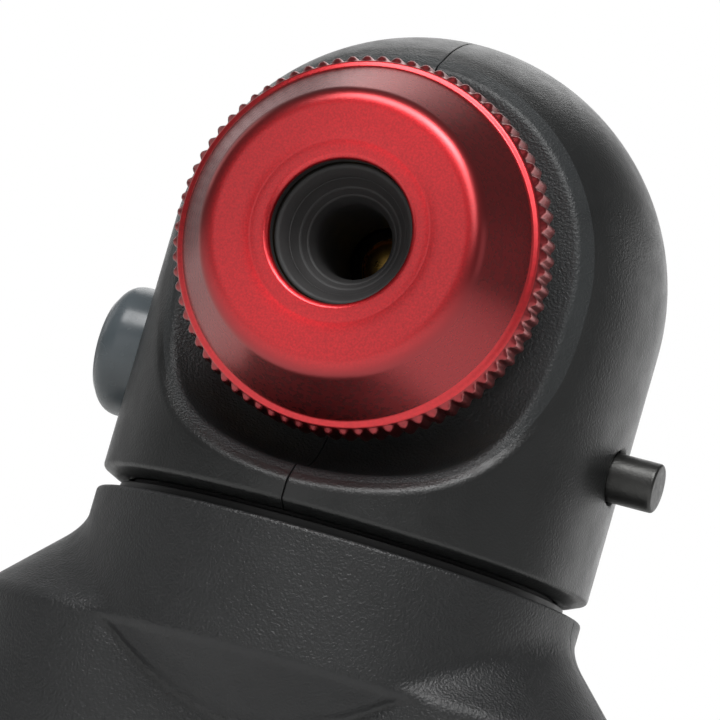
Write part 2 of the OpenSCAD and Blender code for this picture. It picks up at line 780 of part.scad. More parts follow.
// Head
// Head form: an upright capsule bevelled at the rim, drawn in by g
module head_form(g) {
    r = head_r - g;
    z0 = rim_z + g;
    translate([0, 0, z0]) cylinder(h = rim_bevel, r1 = r - rim_bevel, r2 = r);
    translate([0, 0, z0 + rim_bevel]) cylinder(h = chuck_z - z0 - rim_bevel, r = r);
    translate([0, 0, chuck_z]) sphere(r);
}
// What the round pocket round the chuck takes away
module front_cut(g) {
    floor_y = front_y - g;
    r = pocket_r + g;
    f = pocket_fillet + g;
    translate([0, 0, pocket_up]) on_chuck() rotate_extrude() {
        translate([0, floor_y]) square([r - f, big]);
        translate([0, floor_y + f]) square([r, big]);
        translate([r - f, floor_y + f]) intersection() {
            circle(f);
            translate([0, -f]) square(f);
        }
    }
}
module head_screw_places() {
    for (p = head_screw_at) translate([0, p[0], chuck_z + p[1]]) children();
}
module head_shell(side) {
    difference() {
        intersection() {
            union() {
                difference() {
                    head_form(0);
                    head_form(wall);
                    front_cut(0);
                }
                intersection() {
                    difference() {
                        head_form(0.2);
                        front_cut(0);
                    }
                    front_cut(wall);
                }
                intersection() {
                    head_form(wall / 2);
                    head_screw_places() along_x(-big / 2, big / 2, screw_head_r + head_slack);
                }
            }
            translate([side > 0 ? 0 : -2 * big, -big, 0]) cube([2 * big, 2 * big, 4 * big]);
        }
        translate([0, 0, rim_z - 1]) cylinder(h = 5, r = boss_top_r + seat_gap);
        on_chuck() cylinder(h = big, r = barrel_r + free_gap);
        on_spool() cylinder(h = big, r = spool_r + free_gap);
        on_spool() mirror([0, 0, 1]) cylinder(h = big, r = button_r + free_gap);
        head_cavity();
    }
}
// Room for the valve block and what sits beside it
module head_cavity() {
    translate([-block_w / 2 - 0.2, -block_f - seat_gap, block_z0])
        cube([block_w + 0.4, 2 * block_f + 2 * seat_gap, block_top - block_z0 + 0.2]);
}
module head_shell_left() {
    color(black) difference() {
        head_shell(-1);
        for (p = head_screw_at) translate([0, p[0], chuck_z + p[1]]) {
            along_x(-big, 1, screw_r + hole_slack);
            along_x(-big, -half_width(p[0], p[1]) + screw_sink, screw_head_r + head_slack);
        }
    }
}
module head_shell_right() {
    color(black) difference() {
        head_shell(1);
        head_screw_places() along_x(-1, screw_len + 1, screw_r);
    }
}
module head_screws() {
    color(steel) for (p = head_screw_at) {
        seat = -half_width(p[0], p[1]) + screw_sink;
        translate([0, p[0], chuck_z + p[1]]) difference() {
            union() {
                along_x(seat - 0.2, screw_len, screw_r - thread_slack);
                along_x(seat - screw_head_h, seat, screw_head_r);
            }
            along_x(seat - screw_head_h - 1, seat - screw_head_h + hex_deep, hex_r, $fn = 6);
        }
    }
}
module valve_block() {
    color(alloy) difference() {
        union() {
            translate([-block_w / 2, -block_f, block_z0])
                cube([block_w, 2 * block_f, block_top - block_z0]);
            translate([0, 0, flange_z0]) cylinder(h = block_z0 - flange_z0 + 1, r = boss_top_r);
            translate([0, 0, flange_z0]) cylinder(h = flange_t, r = flange_r);
        }
        translate([0, 0, flange_z0 - 1]) cylinder(h = stem_z1 - flange_z0 + 1.4, r = stem_r + running);
        cylinder(h = chuck_z, r = stem_bore_r);
        on_spool() translate([0, 0, -big]) cylinder(h = 2 * big, r = spool_r + running);
        on_spool() translate([0, 0, -big - block_w / 2 + spring_pocket])
            cylinder(h = big, r = spool_coil_r + 0.7);
        on_chuck() {
            translate([0, 0, barrel_back - 0.2]) cylinder(h = big, r = barrel_root_r + 0.02);
            translate([0, 0, spring_seat]) cylinder(h = big, r = core_bore_r);
            translate([0, 0, spring_seat - 5.5]) cylinder(h = big, r = depressor_r + running);
        }
    }
}
module chuck_barrel() {
    color(brass_c) on_chuck() difference() {
        union() {
            translate([0, 0, barrel_back]) cylinder(h = block_f, r = barrel_root_r);
            translate([0, 0, block_f + seal_t])
                cylinder(h = barrel_front - block_f - seal_t, r = barrel_r);
        }
        translate([0, 0, grommet_back - 0.1]) cylinder(h = big, r = grommet_r + seat_gap);
        cylinder(h = big, r = core_bore_r);
    }
}
module barrel_seal() {
    color(rubber_c) on_chuck() tube(block_f, block_f + seal_t, barrel_r - 0.4, barrel_root_r);
}
module thrust_washer() {
    color(brass_c) on_chuck()
        tube(wall_in - washer_t - washer_gap, wall_in - washer_gap, barrel_r - 1, mouth_d / 2 + 0.3);
}
// Knurl outline: V teeth round a circle
module knurl_2d() {
    tip = collar_d / 2;
    polygon([
        for (i = [0:2 * knurl_n - 1])
            let (a = i * 180 / knurl_n, r = i % 2 == 0 ? tip : tip - knurl_t)
            [r * cos(a), r * sin(a)]
    ]);
}
module chuck_collar() {
    root = collar_d / 2 - knurl_t;
    color(red_c) on_chuck() difference() {
        union() {
            translate([0, 0, collar_back + 0.4]) linear_extrude(lip_y - collar_back - 0.8) knurl_2d();
            rotate_extrude() polygon([
                [0, collar_back], [root - 0.4, collar_back], [root, collar_back + 0.4],
                [root, lip_y - 0.4], [root - 0.4, lip_y], [root - 0.9, lip_y],
                [face_d / 2 + 0.8, collar_y - 1], [face_d / 2 + 0.3, collar_y - 0.3],
                [face_d / 2 - 0.5, collar_y], [0, collar_y]
            ]);
        }
        rotate_extrude() polygon([
            [0, collar_back - 1], [barrel_r + running, collar_back - 1],
            [barrel_r + running, pocket_y], [barrel_r - 1 + seat_gap, pocket_y],
            [barrel_r - 1 + seat_gap, wall_in], [mouth_d / 2, wall_in],
            [mouth_d / 2, collar_y - 0.3], [mouth_d / 2 + 0.3, collar_y],
            [mouth_d / 2 + 0.3, collar_y + 1], [0, collar_y + 1]
        ]);
    }
}
module valve_grommet() {
    nose = mouth_d / 2 - 0.15;
    color(rubber_c) on_chuck() rotate_extrude() polygon([
        [stem_hole_d / 2, grommet_back], [grommet_r, grommet_back],
        [grommet_r, grommet_front], [nose, grommet_front],
        [nose, wall_in - 0.1], [nose - 0.4, wall_in - 0.1],
        [step_d / 2, wall_in - funnel_h], [step_d / 2, wall_in - funnel_h - step_h],
        [stem_hole_d / 2 + 0.6, socket_y + 0.6], [stem_hole_d / 2, socket_y]
    ]);
}
module core_depressor() {
    color(brass_c) on_chuck() {
        translate([0, 0, spring_seat - 3]) cylinder(h = depressor_flange - spring_seat + 3, r = depressor_r);
        translate([0, 0, depressor_flange]) cylinder(h = 1, r = core_bore_r - free_gap);
        translate([0, 0, depressor_flange]) cylinder(h = depressor_tip - depressor_flange, r = 1.1);
    }
}
// One unbroken coil along Z: ring by ring round a helix
function helix_point(r, h, turns, a) = [r * cos(a), r * sin(a), h * a / (360 * turns)];
module coil(r, wire, h, turns) {
    per_turn = 8;
    sides = 6;
    last = per_turn * turns;
    climb = atan(h / (2 * PI * r * turns));
    points = [
        for (i = [0:last], j = [0:sides - 1])
            let (a = i * 360 / per_turn, b = j * 360 / sides,
                 out = [cos(a), sin(a), 0],
                 up = [sin(a) * sin(climb), -cos(a) * sin(climb), cos(climb)])
            helix_point(r, h, turns, a) + wire / 2 * (cos(b) * out + sin(b) * up)
    ];
    walls = [
        for (i = [0:last - 1], j = [0:sides - 1])
            let (k = (j + 1) % sides, a = i * sides, b = (i + 1) * sides)
            each [[a + j, b + k, a + k], [a + j, b + j, b + k]]
    ];
    caps = [
        for (j = [1:sides - 2]) each [
            [0, j, j + 1],
            [last * sides, last * sides + j + 1, last * sides + j]
        ]
    ];
    polyhedron(points, concat(walls, caps));
    echo("coil gap to itself", h / turns * cos(climb) - wire);
}
module depressor_spring() {
    wire = 0.5;
    gap = seat_gap + wire / 2;
    color(steel) on_chuck() translate([0, 0, spring_seat + gap])
        coil(core_coil_r, wire, depressor_flange - spring_seat - 2 * gap, 7);
}
module release_spool() {
    color(slate) on_spool() difference() {
        union() {
            translate([0, 0, -button_back - button_grip])
                cylinder(h = button_back + button_grip + spool_tip - spool_edge, r = spool_r);
            translate([0, 0, spool_tip - spool_edge])
                cylinder(h = spool_edge, r1 = spool_r, r2 = spool_r - spool_edge);
        }
        for (z = spool_ring_x) tube(z - 0.5, z + 0.5, spool_r + 1, spool_r - 0.62);
        tube(-stem_bore_r + 0.1, stem_bore_r - 0.1, spool_r + 1, spool_r - 0.7);
        tube(clip_x - 0.05, clip_x + clip_t + 0.05, spool_r + 1, spool_r - 0.5);
    }
}
module spool_o_rings() {
    color(rubber_c) on_spool() for (z = spool_ring_x) o_ring(z, spool_r - 0.3, 0.3);
}
module spool_circlip() {
    color(steel) on_spool() difference() {
        tube(clip_x, clip_x + clip_t, spool_r + 1.5, spool_r - 0.48);
        translate([-1.4, 0, clip_x - 1]) cube([2.8, 5, 4]);
    }
}
module release_button() {
    dome_r = (pow(button_r, 2) + pow(button_dome, 2)) / (2 * button_dome);
    color(slate) on_spool() mirror([0, 0, 1]) difference() {
        intersection() {
            translate([0, 0, button_back]) cylinder(h = button_tip - button_back, r = button_r);
            translate([0, 0, button_tip - dome_r]) sphere(dome_r);
        }
        translate([0, 0, button_back - 1]) cylinder(h = button_grip + 1, r = spool_r);
        tube(button_back - 1, button_back + 1.4, button_r - 0.8, spool_r + 0.6);
    }
}
module spool_spring() {
    wire = 0.6;
    start = -button_back - 1.4 + seat_gap + wire / 2;
    stop = -block_w / 2 + spring_pocket - seat_gap - wire / 2;
    color(steel) on_spool() translate([0, 0, start]) coil(spool_coil_r, wire, stop - start, 6);
}

body_front_shell();
body_back_shell();
base_cap();
foot_pad();
case_screws();
base_screws();
swivel_ring();
swivel_stem();
stem_o_rings();
pump_head();
head_gasket();
outlet_reed();
pump_cylinder();
tie_bolts();
pump_frame();
gear_axle();
crank_gear();
crank_pin();
connecting_rod();
wrist_pin();
piston();
piston_ring();
motor_can();
motor_end_cap();
motor_shaft();
motor_pinion();
motor_screws();
battery_cells();
battery_tray();
cell_tabs();
circuit_board();
board_screws();
charge_port();
display_panel();
display_window();
key_switches();
power_button();
minus_button();
plus_button();
head_shell_left();
head_shell_right();
head_screws();
valve_block();
chuck_barrel();
barrel_seal();
thrust_washer();
chuck_collar();
valve_grommet();
core_depressor();
depressor_spring();
release_spool();
release_button();
spool_spring();
spool_o_rings();
spool_circlip();
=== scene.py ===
import math

import bmesh
import bpy
import numpy as np
from mathutils import Matrix, Vector


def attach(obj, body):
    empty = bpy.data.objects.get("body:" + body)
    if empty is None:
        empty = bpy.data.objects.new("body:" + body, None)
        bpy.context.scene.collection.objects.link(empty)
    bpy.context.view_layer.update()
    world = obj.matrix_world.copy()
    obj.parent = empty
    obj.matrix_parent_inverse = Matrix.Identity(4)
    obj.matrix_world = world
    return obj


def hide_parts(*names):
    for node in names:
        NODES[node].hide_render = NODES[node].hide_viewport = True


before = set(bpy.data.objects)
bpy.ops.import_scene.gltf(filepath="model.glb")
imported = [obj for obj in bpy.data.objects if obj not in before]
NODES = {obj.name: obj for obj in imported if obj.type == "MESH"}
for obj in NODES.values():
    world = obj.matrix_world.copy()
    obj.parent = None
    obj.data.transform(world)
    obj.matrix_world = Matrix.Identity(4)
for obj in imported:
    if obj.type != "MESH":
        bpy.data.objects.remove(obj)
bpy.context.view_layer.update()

MM = 0.001

# Sizes of the object in millimetres, as the frame has them: heights are counted from the foot pad
CHUCK_Z = 172.5
SPOOL_Z = 161.8
HEAD_R = 20.0
NECK_TOP = 150.2
# The shoulder's bevel starts at EDGE_Z and meets the cone under the neck, which ends at NECK_LOW
EDGE_Z = 140.2
NECK_LOW = 139.8
# The case is a stadium: round ends of BODY_R about END_X on both sides
BODY_R = 15.5
END_X = 12.0
CASE_Z0 = 4.0
CASE_WALL, HEAD_WALL = 1.4, 1.0
WINDOW_Z, KEYS_Z, KEY_PITCH = 58.0, 38.0, 9.6
# The shells stop this far from the plane that splits them, and bend in by SEAM_DEEP there
SEAM_HALF, SEAM_DEEP = 0.012, 0.16
# Screws: the case's stand at (x to both sides, z), the head's at (y, height above the chuck's axis)
SCREW_HEAD_R, SCREW_HEAD_H, SCREW_HOLE_R, WELL_R, WELL_WALL = 2.1, 1.4, 2.3, 2.4, 0.4
CASE_SCREWS = [(22, 12.0), (22, 78.8), (14, 143.2)]
HEAD_SCREWS = [(12.6, -14.5), (12.6, 4), (4, 13.5)]
BASE_SCREW_X = 17.0


# ---------------- materials

def linear(code):
    """An sRGB hex colour as the linear colour that a shader takes."""
    parts = [int(code[i:i + 2], 16) / 255 for i in (1, 3, 5)]
    return [p / 12.92 if p <= 0.04045 else ((p + 0.055) / 1.055) ** 2.4 for p in parts] + [1.0]


def add(tree, kind, inputs=None, **settings):
    """Adds a node with its settings; an input is a value or the socket that feeds it."""
    node = tree.nodes.new(kind)
    for key, value in settings.items():
        setattr(node, key, value)
    for key, value in (inputs or {}).items():
        if isinstance(value, bpy.types.NodeSocket):
            tree.links.new(value, node.inputs[key])
        else:
            node.inputs[key].default_value = value
    return node


def shader(name, **values):
    """A new material: its tree, its Principled shader and the object's own coordinates."""
    made = bpy.data.materials.new(name)
    made.use_nodes = True
    tree = made.node_tree
    tree.nodes.clear()
    skin = add(tree, "ShaderNodeBsdfPrincipled", values)
    add(tree, "ShaderNodeOutputMaterial", {0: skin.outputs[0]})
    where = add(tree, "ShaderNodeTexCoord").outputs["Object"]
    return made, tree, skin, where


def speckle(tree, where, size_mm, detail=2.0):
    """Noise whose spots are size_mm across."""
    return add(tree, "ShaderNodeTexNoise",
               {"Vector": where, "Scale": 1 / (size_mm * MM), "Detail": detail}).outputs["Fac"]


# The span of the noise that the colours and the gloss follow
NOISE_LOW, NOISE_HIGH = 0.3, 0.7


def tint(tree, skin, fac, low, high):
    """Colour that runs from low to high as the noise does."""
    ramp = add(tree, "ShaderNodeValToRGB", {"Fac": fac})
    for end, position, colour in zip(ramp.color_ramp.elements, (NOISE_LOW, NOISE_HIGH), (low, high)):
        end.position = position
        end.color = linear(colour)
    tree.links.new(ramp.outputs["Color"], skin.inputs["Base Color"])


def vary(tree, skin, fac, low, high):
    """Roughness that runs from low to high as the noise does."""
    span = add(tree, "ShaderNodeMapRange", {"Value": fac, "From Min": NOISE_LOW, "From Max": NOISE_HIGH,
                                            "To Min": low, "To Max": high})
    tree.links.new(span.outputs["Result"], skin.inputs["Roughness"])


def relief(tree, skin, height, depth_mm):
    """A bump depth_mm high."""
    bump = add(tree, "ShaderNodeBump", {"Height": height, "Distance": depth_mm * MM, "Strength": 1.0})
    tree.links.new(bump.outputs["Normal"], skin.inputs["Normal"])
    return bump


def moulded(name, low, high, rough, grain_mm, depth_mm, ior):
    """Moulded plastic or rubber: a spark-eroded grain, faint cloudiness and uneven gloss."""
    made, tree, skin, where = shader(name, IOR=ior)
    tint(tree, skin, speckle(tree, where, 7.0, 3.0), low, high)
    vary(tree, skin, speckle(tree, where, 1.6), rough - 0.04, rough + 0.04)
    relief(tree, skin, speckle(tree, where, grain_mm), depth_mm)
    return made


def turned(name, low, high, rough, axis, step_mm, depth_mm):
    """Metal turned on a lathe: fine rings about the given axis through the piece."""
    made, tree, skin, where = shader(name, Metallic=1.0)
    tint(tree, skin, speckle(tree, where, 3.0), low, high)
    vary(tree, skin, speckle(tree, where, 0.8), rough - 0.05, rough + 0.05)
    rings = add(tree, "ShaderNodeTexWave",
                {"Vector": where, "Scale": 0.314 / (step_mm * MM), "Distortion": 0.6},
                wave_type="BANDS", bands_direction=axis)
    relief(tree, skin, rings.outputs["Fac"], depth_mm)
    return made


def brushed(name, low, high, rough, grain_mm, depth_mm):
    """Plated or cast metal: a fine even grain with slightly uneven gloss."""
    made, tree, skin, where = shader(name, Metallic=1.0)
    tint(tree, skin, speckle(tree, where, 2.5), low, high)
    vary(tree, skin, speckle(tree, where, 0.7), rough - 0.06, rough + 0.06)
    relief(tree, skin, speckle(tree, where, grain_mm), depth_mm)
    return made


# Glass-filled nylon from a spark-eroded tool: dark, with a leathery grain of a quarter of a
# millimetre that breaks up the light.
case_nylon = moulded("case_nylon_grained", "#141516", "#1a1b1c", 0.46, 0.22, 0.10, 1.53)
# The same nylon in a finer satin texture, so that the dome shines softly at its edge.
head_nylon = moulded("head_nylon_satin", "#151616", "#1a1b1b", 0.38, 0.20, 0.040, 1.53)
# The tool's polished inserts leave this part of the case smooth.
smooth_nylon = moulded("case_nylon_smooth", "#161719", "#1b1c1e", 0.42, 0.20, 0.040, 1.53)
# The pocket round the collar keeps the coarse grain of the tool; its colour, lighter and bluer than the
# head's, is painted light in the pocket.
pocket_nylon_painted_light = moulded("head_nylon_pocket_painted_light", "#1f2122", "#272a2b", 0.50, 0.22, 0.08, 1.53)
# Acetal sliding ring in dull near-black, painted shade, so that the groove it lies in reads as an empty
# shadowed gap.
ring_acetal_painted_shade = moulded("ring_acetal_painted_shade", "#0d0d0e", "#131314", 0.5, 0.5, 0.004, 1.48)
# Polished ABS keys and button in slate grey: glossy, with faint ripples from moulding.
key_abs = moulded("key_abs_polished", "#454c50", "#4e5559", 0.26, 2.5, 0.003, 1.54)
# Plain parts inside: black nylon, white ABS and a milky acetal gear that tells from the metal round it.
inner_nylon = moulded("inner_nylon", "#2a2b2d", "#343538", 0.5, 0.3, 0.012, 1.53)
tray_abs = moulded("tray_abs", "#d2d2cc", "#dcdcd6", 0.45, 0.35, 0.008, 1.54)
gear_acetal = moulded("gear_acetal", "#e4dfce", "#ece8da", 0.38, 0.4, 0.006, 1.48)
# Nitrile rubber: matte, with a dusty bloom.
rubber = moulded("nitrile_rubber", "#1c1b1b", "#262525", 0.62, 0.22, 0.010, 1.52)
# Heat-shrunk PVC sleeve on the cells: glossy and slightly wrinkled.
cell_sleeve = moulded("cell_sleeve_pvc", "#14507a", "#1a5d8a", 0.24, 3.0, 0.03, 1.53)
# Solder mask over glass fibre: the weave shows faintly through the gloss.
board_mask = moulded("solder_mask", "#0d4a2a", "#126036", 0.28, 0.5, 0.006, 1.5)
# Acrylic window, smoked until it looks black, with a polished face.
window_acrylic = moulded("window_acrylic_smoked", "#060708", "#0a0b0c", 0.07, 6.0, 0.003, 1.49)
# The liquid crystal behind the window: grey-green, with dark strokes.
display_glass = moulded("display_glass", "#7c8876", "#84907e", 0.14, 4.0, 0.002, 1.5)
digit_black = moulded("display_strokes", "#171c18", "#1c221d", 0.2, 3.0, 0.001, 1.5)
# White pad-printing ink on the keys.
print_ink = moulded("print_ink", "#b9bcbd", "#c8cbcc", 0.5, 0.2, 0.004, 1.5)

# Metals: bright zinc and spring steel, dull black screws and spool, and a sandy grey casting.
zinc_steel = brushed("zinc_plated_steel", "#b4b6b8", "#c6c8ca", 0.32, 0.25, 0.004)
spring_steel = turned("spring_steel", "#a9abad", "#bcbec0", 0.28, "X", 0.2, 0.003)
black_oxide = brushed("black_oxide_steel", "#454544", "#50504f", 0.42, 0.22, 0.02)
cast_alloy = brushed("cast_aluminium", "#a2a4a7", "#b2b4b7", 0.42, 0.30, 0.014)
# The pin's flange is painted near-black, painted shade deep in the bore, so that only its tip shines.
brass_painted_shade = brushed("brass_flange_painted_shade", "#1c1812", "#26211a", 0.6, 0.3, 0.006)
# Brass turned on a lathe, lightly tarnished.
turned_brass = turned("turned_brass", "#d2a24c", "#e8bd66", 0.30, "Y", 0.18, 0.004)


def anodised(name, low, high, rough, grain_mm, depth_mm, lay, smooth=None):
    """Red anodised aluminium: dyed metal under a clear oxide skin, which shines white at a slant.
    The lathe's rings spread the shine along each spoke of the collar, as strongly as lay says.
    smooth gives the radii in millimetres between which the grain fades out, and the bare finish there."""
    made, tree, skin, where = shader(name, **{
        "Metallic": 1.0, "Anisotropic": lay, "Specular Tint": linear("#b04048"),
        "Coat Weight": 1.0, "Coat IOR": 1.55, "Coat Roughness": 0.28})
    off_axis = add(tree, "ShaderNodeVectorMath", {0: where, 1: (0, 0, CHUCK_Z * MM)}, operation="SUBTRACT")
    flat = add(tree, "ShaderNodeVectorMath", {0: off_axis.outputs[0], 1: (1, 0, 1)}, operation="MULTIPLY")
    spoke = add(tree, "ShaderNodeVectorTransform", {"Vector": flat.outputs[0]}, vector_type="VECTOR",
                convert_from="OBJECT", convert_to="WORLD")
    tree.links.new(spoke.outputs[0], skin.inputs["Tangent"])
    grain = speckle(tree, where, grain_mm, 6.0)
    tint(tree, skin, grain, low, high)
    vary(tree, skin, speckle(tree, where, grain_mm * 1.7), rough - 0.04, rough + 0.04)
    bump = relief(tree, skin, grain, depth_mm)
    tree.links.new(bump.outputs["Normal"], skin.inputs["Coat Normal"])
    if smooth:
        start, stop, colour, gloss = smooth
        radius = add(tree, "ShaderNodeVectorMath", {0: flat.outputs[0]}, operation="LENGTH").outputs["Value"]
        fade = add(tree, "ShaderNodeMapRange",
                   {"Value": radius, "From Min": start * MM, "From Max": stop * MM},
                   interpolation_type="SMOOTHSTEP").outputs["Result"]
        grained = skin.inputs["Base Color"].links[0].from_socket
        dyed = add(tree, "ShaderNodeMix", {0: fade, 6: grained, 7: linear(colour)}, data_type="RGBA")
        tree.links.new(dyed.outputs[2], skin.inputs["Base Color"])
        uneven = skin.inputs["Roughness"].links[0].from_socket
        shine = add(tree, "ShaderNodeMix", {0: fade, 2: uneven, 3: gloss}, data_type="FLOAT")
        tree.links.new(shine.outputs[0], skin.inputs["Roughness"])
        keep = add(tree, "ShaderNodeMath", {0: 1.0, 1: fade}, operation="SUBTRACT")
        tree.links.new(keep.outputs[0], bump.inputs["Strength"])
    return made


# The cone is turned smooth, so it mirrors the room darkly.
TURNED_RED, TURNED_GLOSS = "#9d141d", 0.28
# The mouth's face is bead-blasted before anodising, a fine grit of lighter and darker specks, which
# the tool that turned the round shoulder took off again.
red_blasted = anodised("anodised_red_blasted", "#c41923", "#e6242d", 0.42, 0.17, 0.012, 0.3,
                       (9.7, 11.4, TURNED_RED, TURNED_GLOSS))
red_turned = anodised("anodised_red_turned", TURNED_RED, TURNED_RED, TURNED_GLOSS, 0.30, 0.001, 0.3)
# The lip takes a brighter red than the flank and the knurl, a painted highlight that draws a bright line
# round the knurl.
red_lip_painted_highlight = anodised("anodised_red_lip_painted_highlight", "#c81a24", "#dc212b", 0.36, 0.25, 0.004, 0.0)
# The knurl is cut after turning: bright edges between dull flanks. Its darker red is painted shade, as the
# teeth lie partly in shadow.
red_knurl_painted_shade = anodised("anodised_red_knurl_painted_shade", "#8e131b", "#a81a23", 0.34, 0.25, 0.006, 0.0)


# ---------------- mesh helpers

def linked(name, data):
    """A new object that carries the data, in the scene."""
    made = bpy.data.objects.new(name, data)
    bpy.context.scene.collection.objects.link(made)
    return made


def piece_from(name, points, faces, materials, index=None):
    """A smooth mesh piece from points in millimetres; index gives each face its material."""
    mesh = bpy.data.meshes.new(name)
    faces = faces.tolist() if isinstance(faces, np.ndarray) else faces
    mesh.from_pydata((np.asarray(points) * MM).tolist(), [], faces)
    for made in materials:
        mesh.materials.append(made)
    if index is not None:
        mesh.polygons.foreach_set("material_index", np.asarray(index, np.int32))
    mesh.shade_smooth()
    mesh.update()
    return linked(name, mesh)


def flat_piece(name, points, faces, material):
    """A piece with flat faces from points in millimetres."""
    made = piece_from(name, points, faces, [material])
    tidy(made)
    made.data.shade_flat()
    return made


def grid_faces(rows, columns, close_rows=False, close_columns=False):
    """Quads between neighbouring rows and columns of points."""
    i = np.arange(rows if close_rows else rows - 1)
    j = np.arange(columns if close_columns else columns - 1)
    i, j = (a.ravel() for a in np.meshgrid(i, j, indexing="ij"))
    i1, j1 = (i + 1) % rows, (j + 1) % columns
    return np.stack([i * columns + j, i * columns + j1, i1 * columns + j1, i1 * columns + j], 1)


def bend(before, corner, after, steps):
    """A corner rounded by a parabola from one point to the other."""
    t = np.linspace(0, 1, steps)[:, None]
    return (1 - t) ** 2 * before + 2 * t * (1 - t) * corner + t ** 2 * after


def rounded(outline, radii, steps=5):
    """A closed flat outline whose corners are rounded back by radii."""
    outline = np.asarray(outline, float)
    made = []
    for k, (corner, cut) in enumerate(zip(outline, radii)):
        if cut == 0:
            made.append(corner[None])
            continue
        u, v = outline[k - 1] - corner, outline[(k + 1) % len(outline)] - corner
        u, v = u / np.linalg.norm(u), v / np.linalg.norm(v)
        made.append(bend(corner + u * cut, corner, corner + v * cut, steps))
    return np.concatenate(made)


def spun(name, outline, axis, centre, materials, columns=96, index=None):
    """A closed outline of (radius, distance along axis) spun about an axis through centre.
    axis is "X", "Z" or "Y"; for "Y" the distance is counted towards -Y."""
    outline = np.asarray(outline, float)
    turn = np.arange(columns) * 2 * np.pi / columns
    r, d = outline[:, :1], outline[:, 1:]
    a, b, c = r * np.cos(turn), r * np.sin(turn), d + 0 * turn
    order = {"X": (c, a, b), "Y": (b, -c, a), "Z": (a, b, c)}[axis]
    points = np.stack(order, -1).reshape(-1, 3) + np.asarray(centre, float)
    faces = grid_faces(len(outline), columns, True, True)
    area = np.sum(outline[:, 0] * np.roll(outline[:, 1], -1) - outline[:, 1] * np.roll(outline[:, 0], -1))
    if area > 0:
        faces = faces[:, ::-1]
    poly = None if index is None else np.repeat(index, columns)
    made = piece_from(name, points, faces, materials, poly)
    tidy(made)
    return made


def tidy(piece):
    """Merges doubled points, such as those of a pole, and drops what collapses."""
    work = bmesh.new()
    work.from_mesh(piece.data)
    bmesh.ops.remove_doubles(work, verts=work.verts, dist=1e-7)
    bmesh.ops.dissolve_degenerate(work, dist=1e-8, edges=work.edges)
    bmesh.ops.recalc_face_normals(work, faces=work.faces)
    work.to_mesh(piece.data)
    work.free()
    piece.data.shade_smooth()


def pierce(points, faces, index, distance, settle):
    """Cuts a hole where distance is below 0, and draws the hole's edge onto distance 0.
    settle puts moved points back on the surface."""
    nudge_mm = 1e-4
    value = distance(points)
    inside = value[faces].mean(1) < 0
    kept = np.zeros(len(points), bool)
    kept[faces[~inside].ravel()] = True
    edge = np.unique(faces[inside].ravel())
    edge = edge[kept[edge]]
    for _ in range(3):
        here = points[edge]
        level = distance(here)
        slope = np.zeros_like(here)
        for k in range(3):
            nudge = np.zeros(3)
            nudge[k] = nudge_mm
            slope[:, k] = (distance(here + nudge) - level) / nudge_mm
        length = np.maximum((slope ** 2).sum(1, keepdims=True), 1e-9)
        points[edge] = settle(here - slope * level[:, None] / length)
    return faces[~inside], index[~inside]


def walled(piece, thickness_mm):
    """Gives a shell its wall, inwards."""
    wall = piece.modifiers.new("wall", "SOLIDIFY")
    wall.thickness = thickness_mm * MM
    wall.offset = -1


def put(piece, body, slot, *replaced):
    """Rides a piece on its body and hides the nodes that it stands for; slot is not used."""
    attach(piece, body)
    if replaced:
        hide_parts(*replaced)


def grid_normals(points):
    """Unit normals of a grid of points, by its neighbours."""
    along = np.gradient(points, axis=0)
    across = np.gradient(points, axis=1)
    n = np.cross(along, across)
    return n / np.maximum(np.linalg.norm(n, axis=-1, keepdims=True), 1e-12)


# ---------------- head

# The pocket round the collar: its floor's distance from the neck axis, its wall's radius about a
# point above the chuck's axis, and the fillet between them
FLOOR_D, POCKET_R, POCKET_UP, POCKET_FILLET = 12.1, 23.8, 6.2, 5.0
CHUCK_HOLE_R = 10.3
# The head hangs a little over the ring: its lowest edge, and the bevel that leads to it
RIM_LOW, BEVEL_UP, BEVEL_IN = 151.2, 0.65, 1.35
# Columns over the dome swing about this height on the neck axis
SWING_Z = 161.0
# Where a column that leaves the chuck at an angle comes down to the rim, in degrees from the front
RIM_TURN = ([-90, -70, -45, -20, 0, 20, 45, 70, 90], [0, 20, 46, 64, 78, 96, 124, 155, 180])
# The first rows of faces in a column are the pocket's
POCKET_ROWS = 31


def ease(value, low, high):
    """0 below low, 1 above high, smooth between."""
    t = np.clip((value - low) / (high - low), 0, 1)
    return t * t * (3 - 2 * t)


def head_out(across, z):
    """How far out to any side the head stands, at a distance across from its axis and a height."""
    return np.sqrt(np.maximum(HEAD_R ** 2 - across * across - np.maximum(z - CHUCK_Z, 0) ** 2, 0))


def dome_out(centre, way):
    """Where a ray from centre leaves the upright capsule of the head."""
    flat = np.maximum(np.linalg.norm(way[:, :2], axis=1), 1e-9)
    reach = HEAD_R / flat
    point = centre + way * reach[:, None]
    high = point[:, 2] > CHUCK_Z
    drop = centre[2] - CHUCK_Z
    b = way[:, 2] * drop
    reach = np.where(high, -b + np.sqrt(b * b - drop * drop + HEAD_R ** 2), reach)
    return centre + way * reach[:, None]


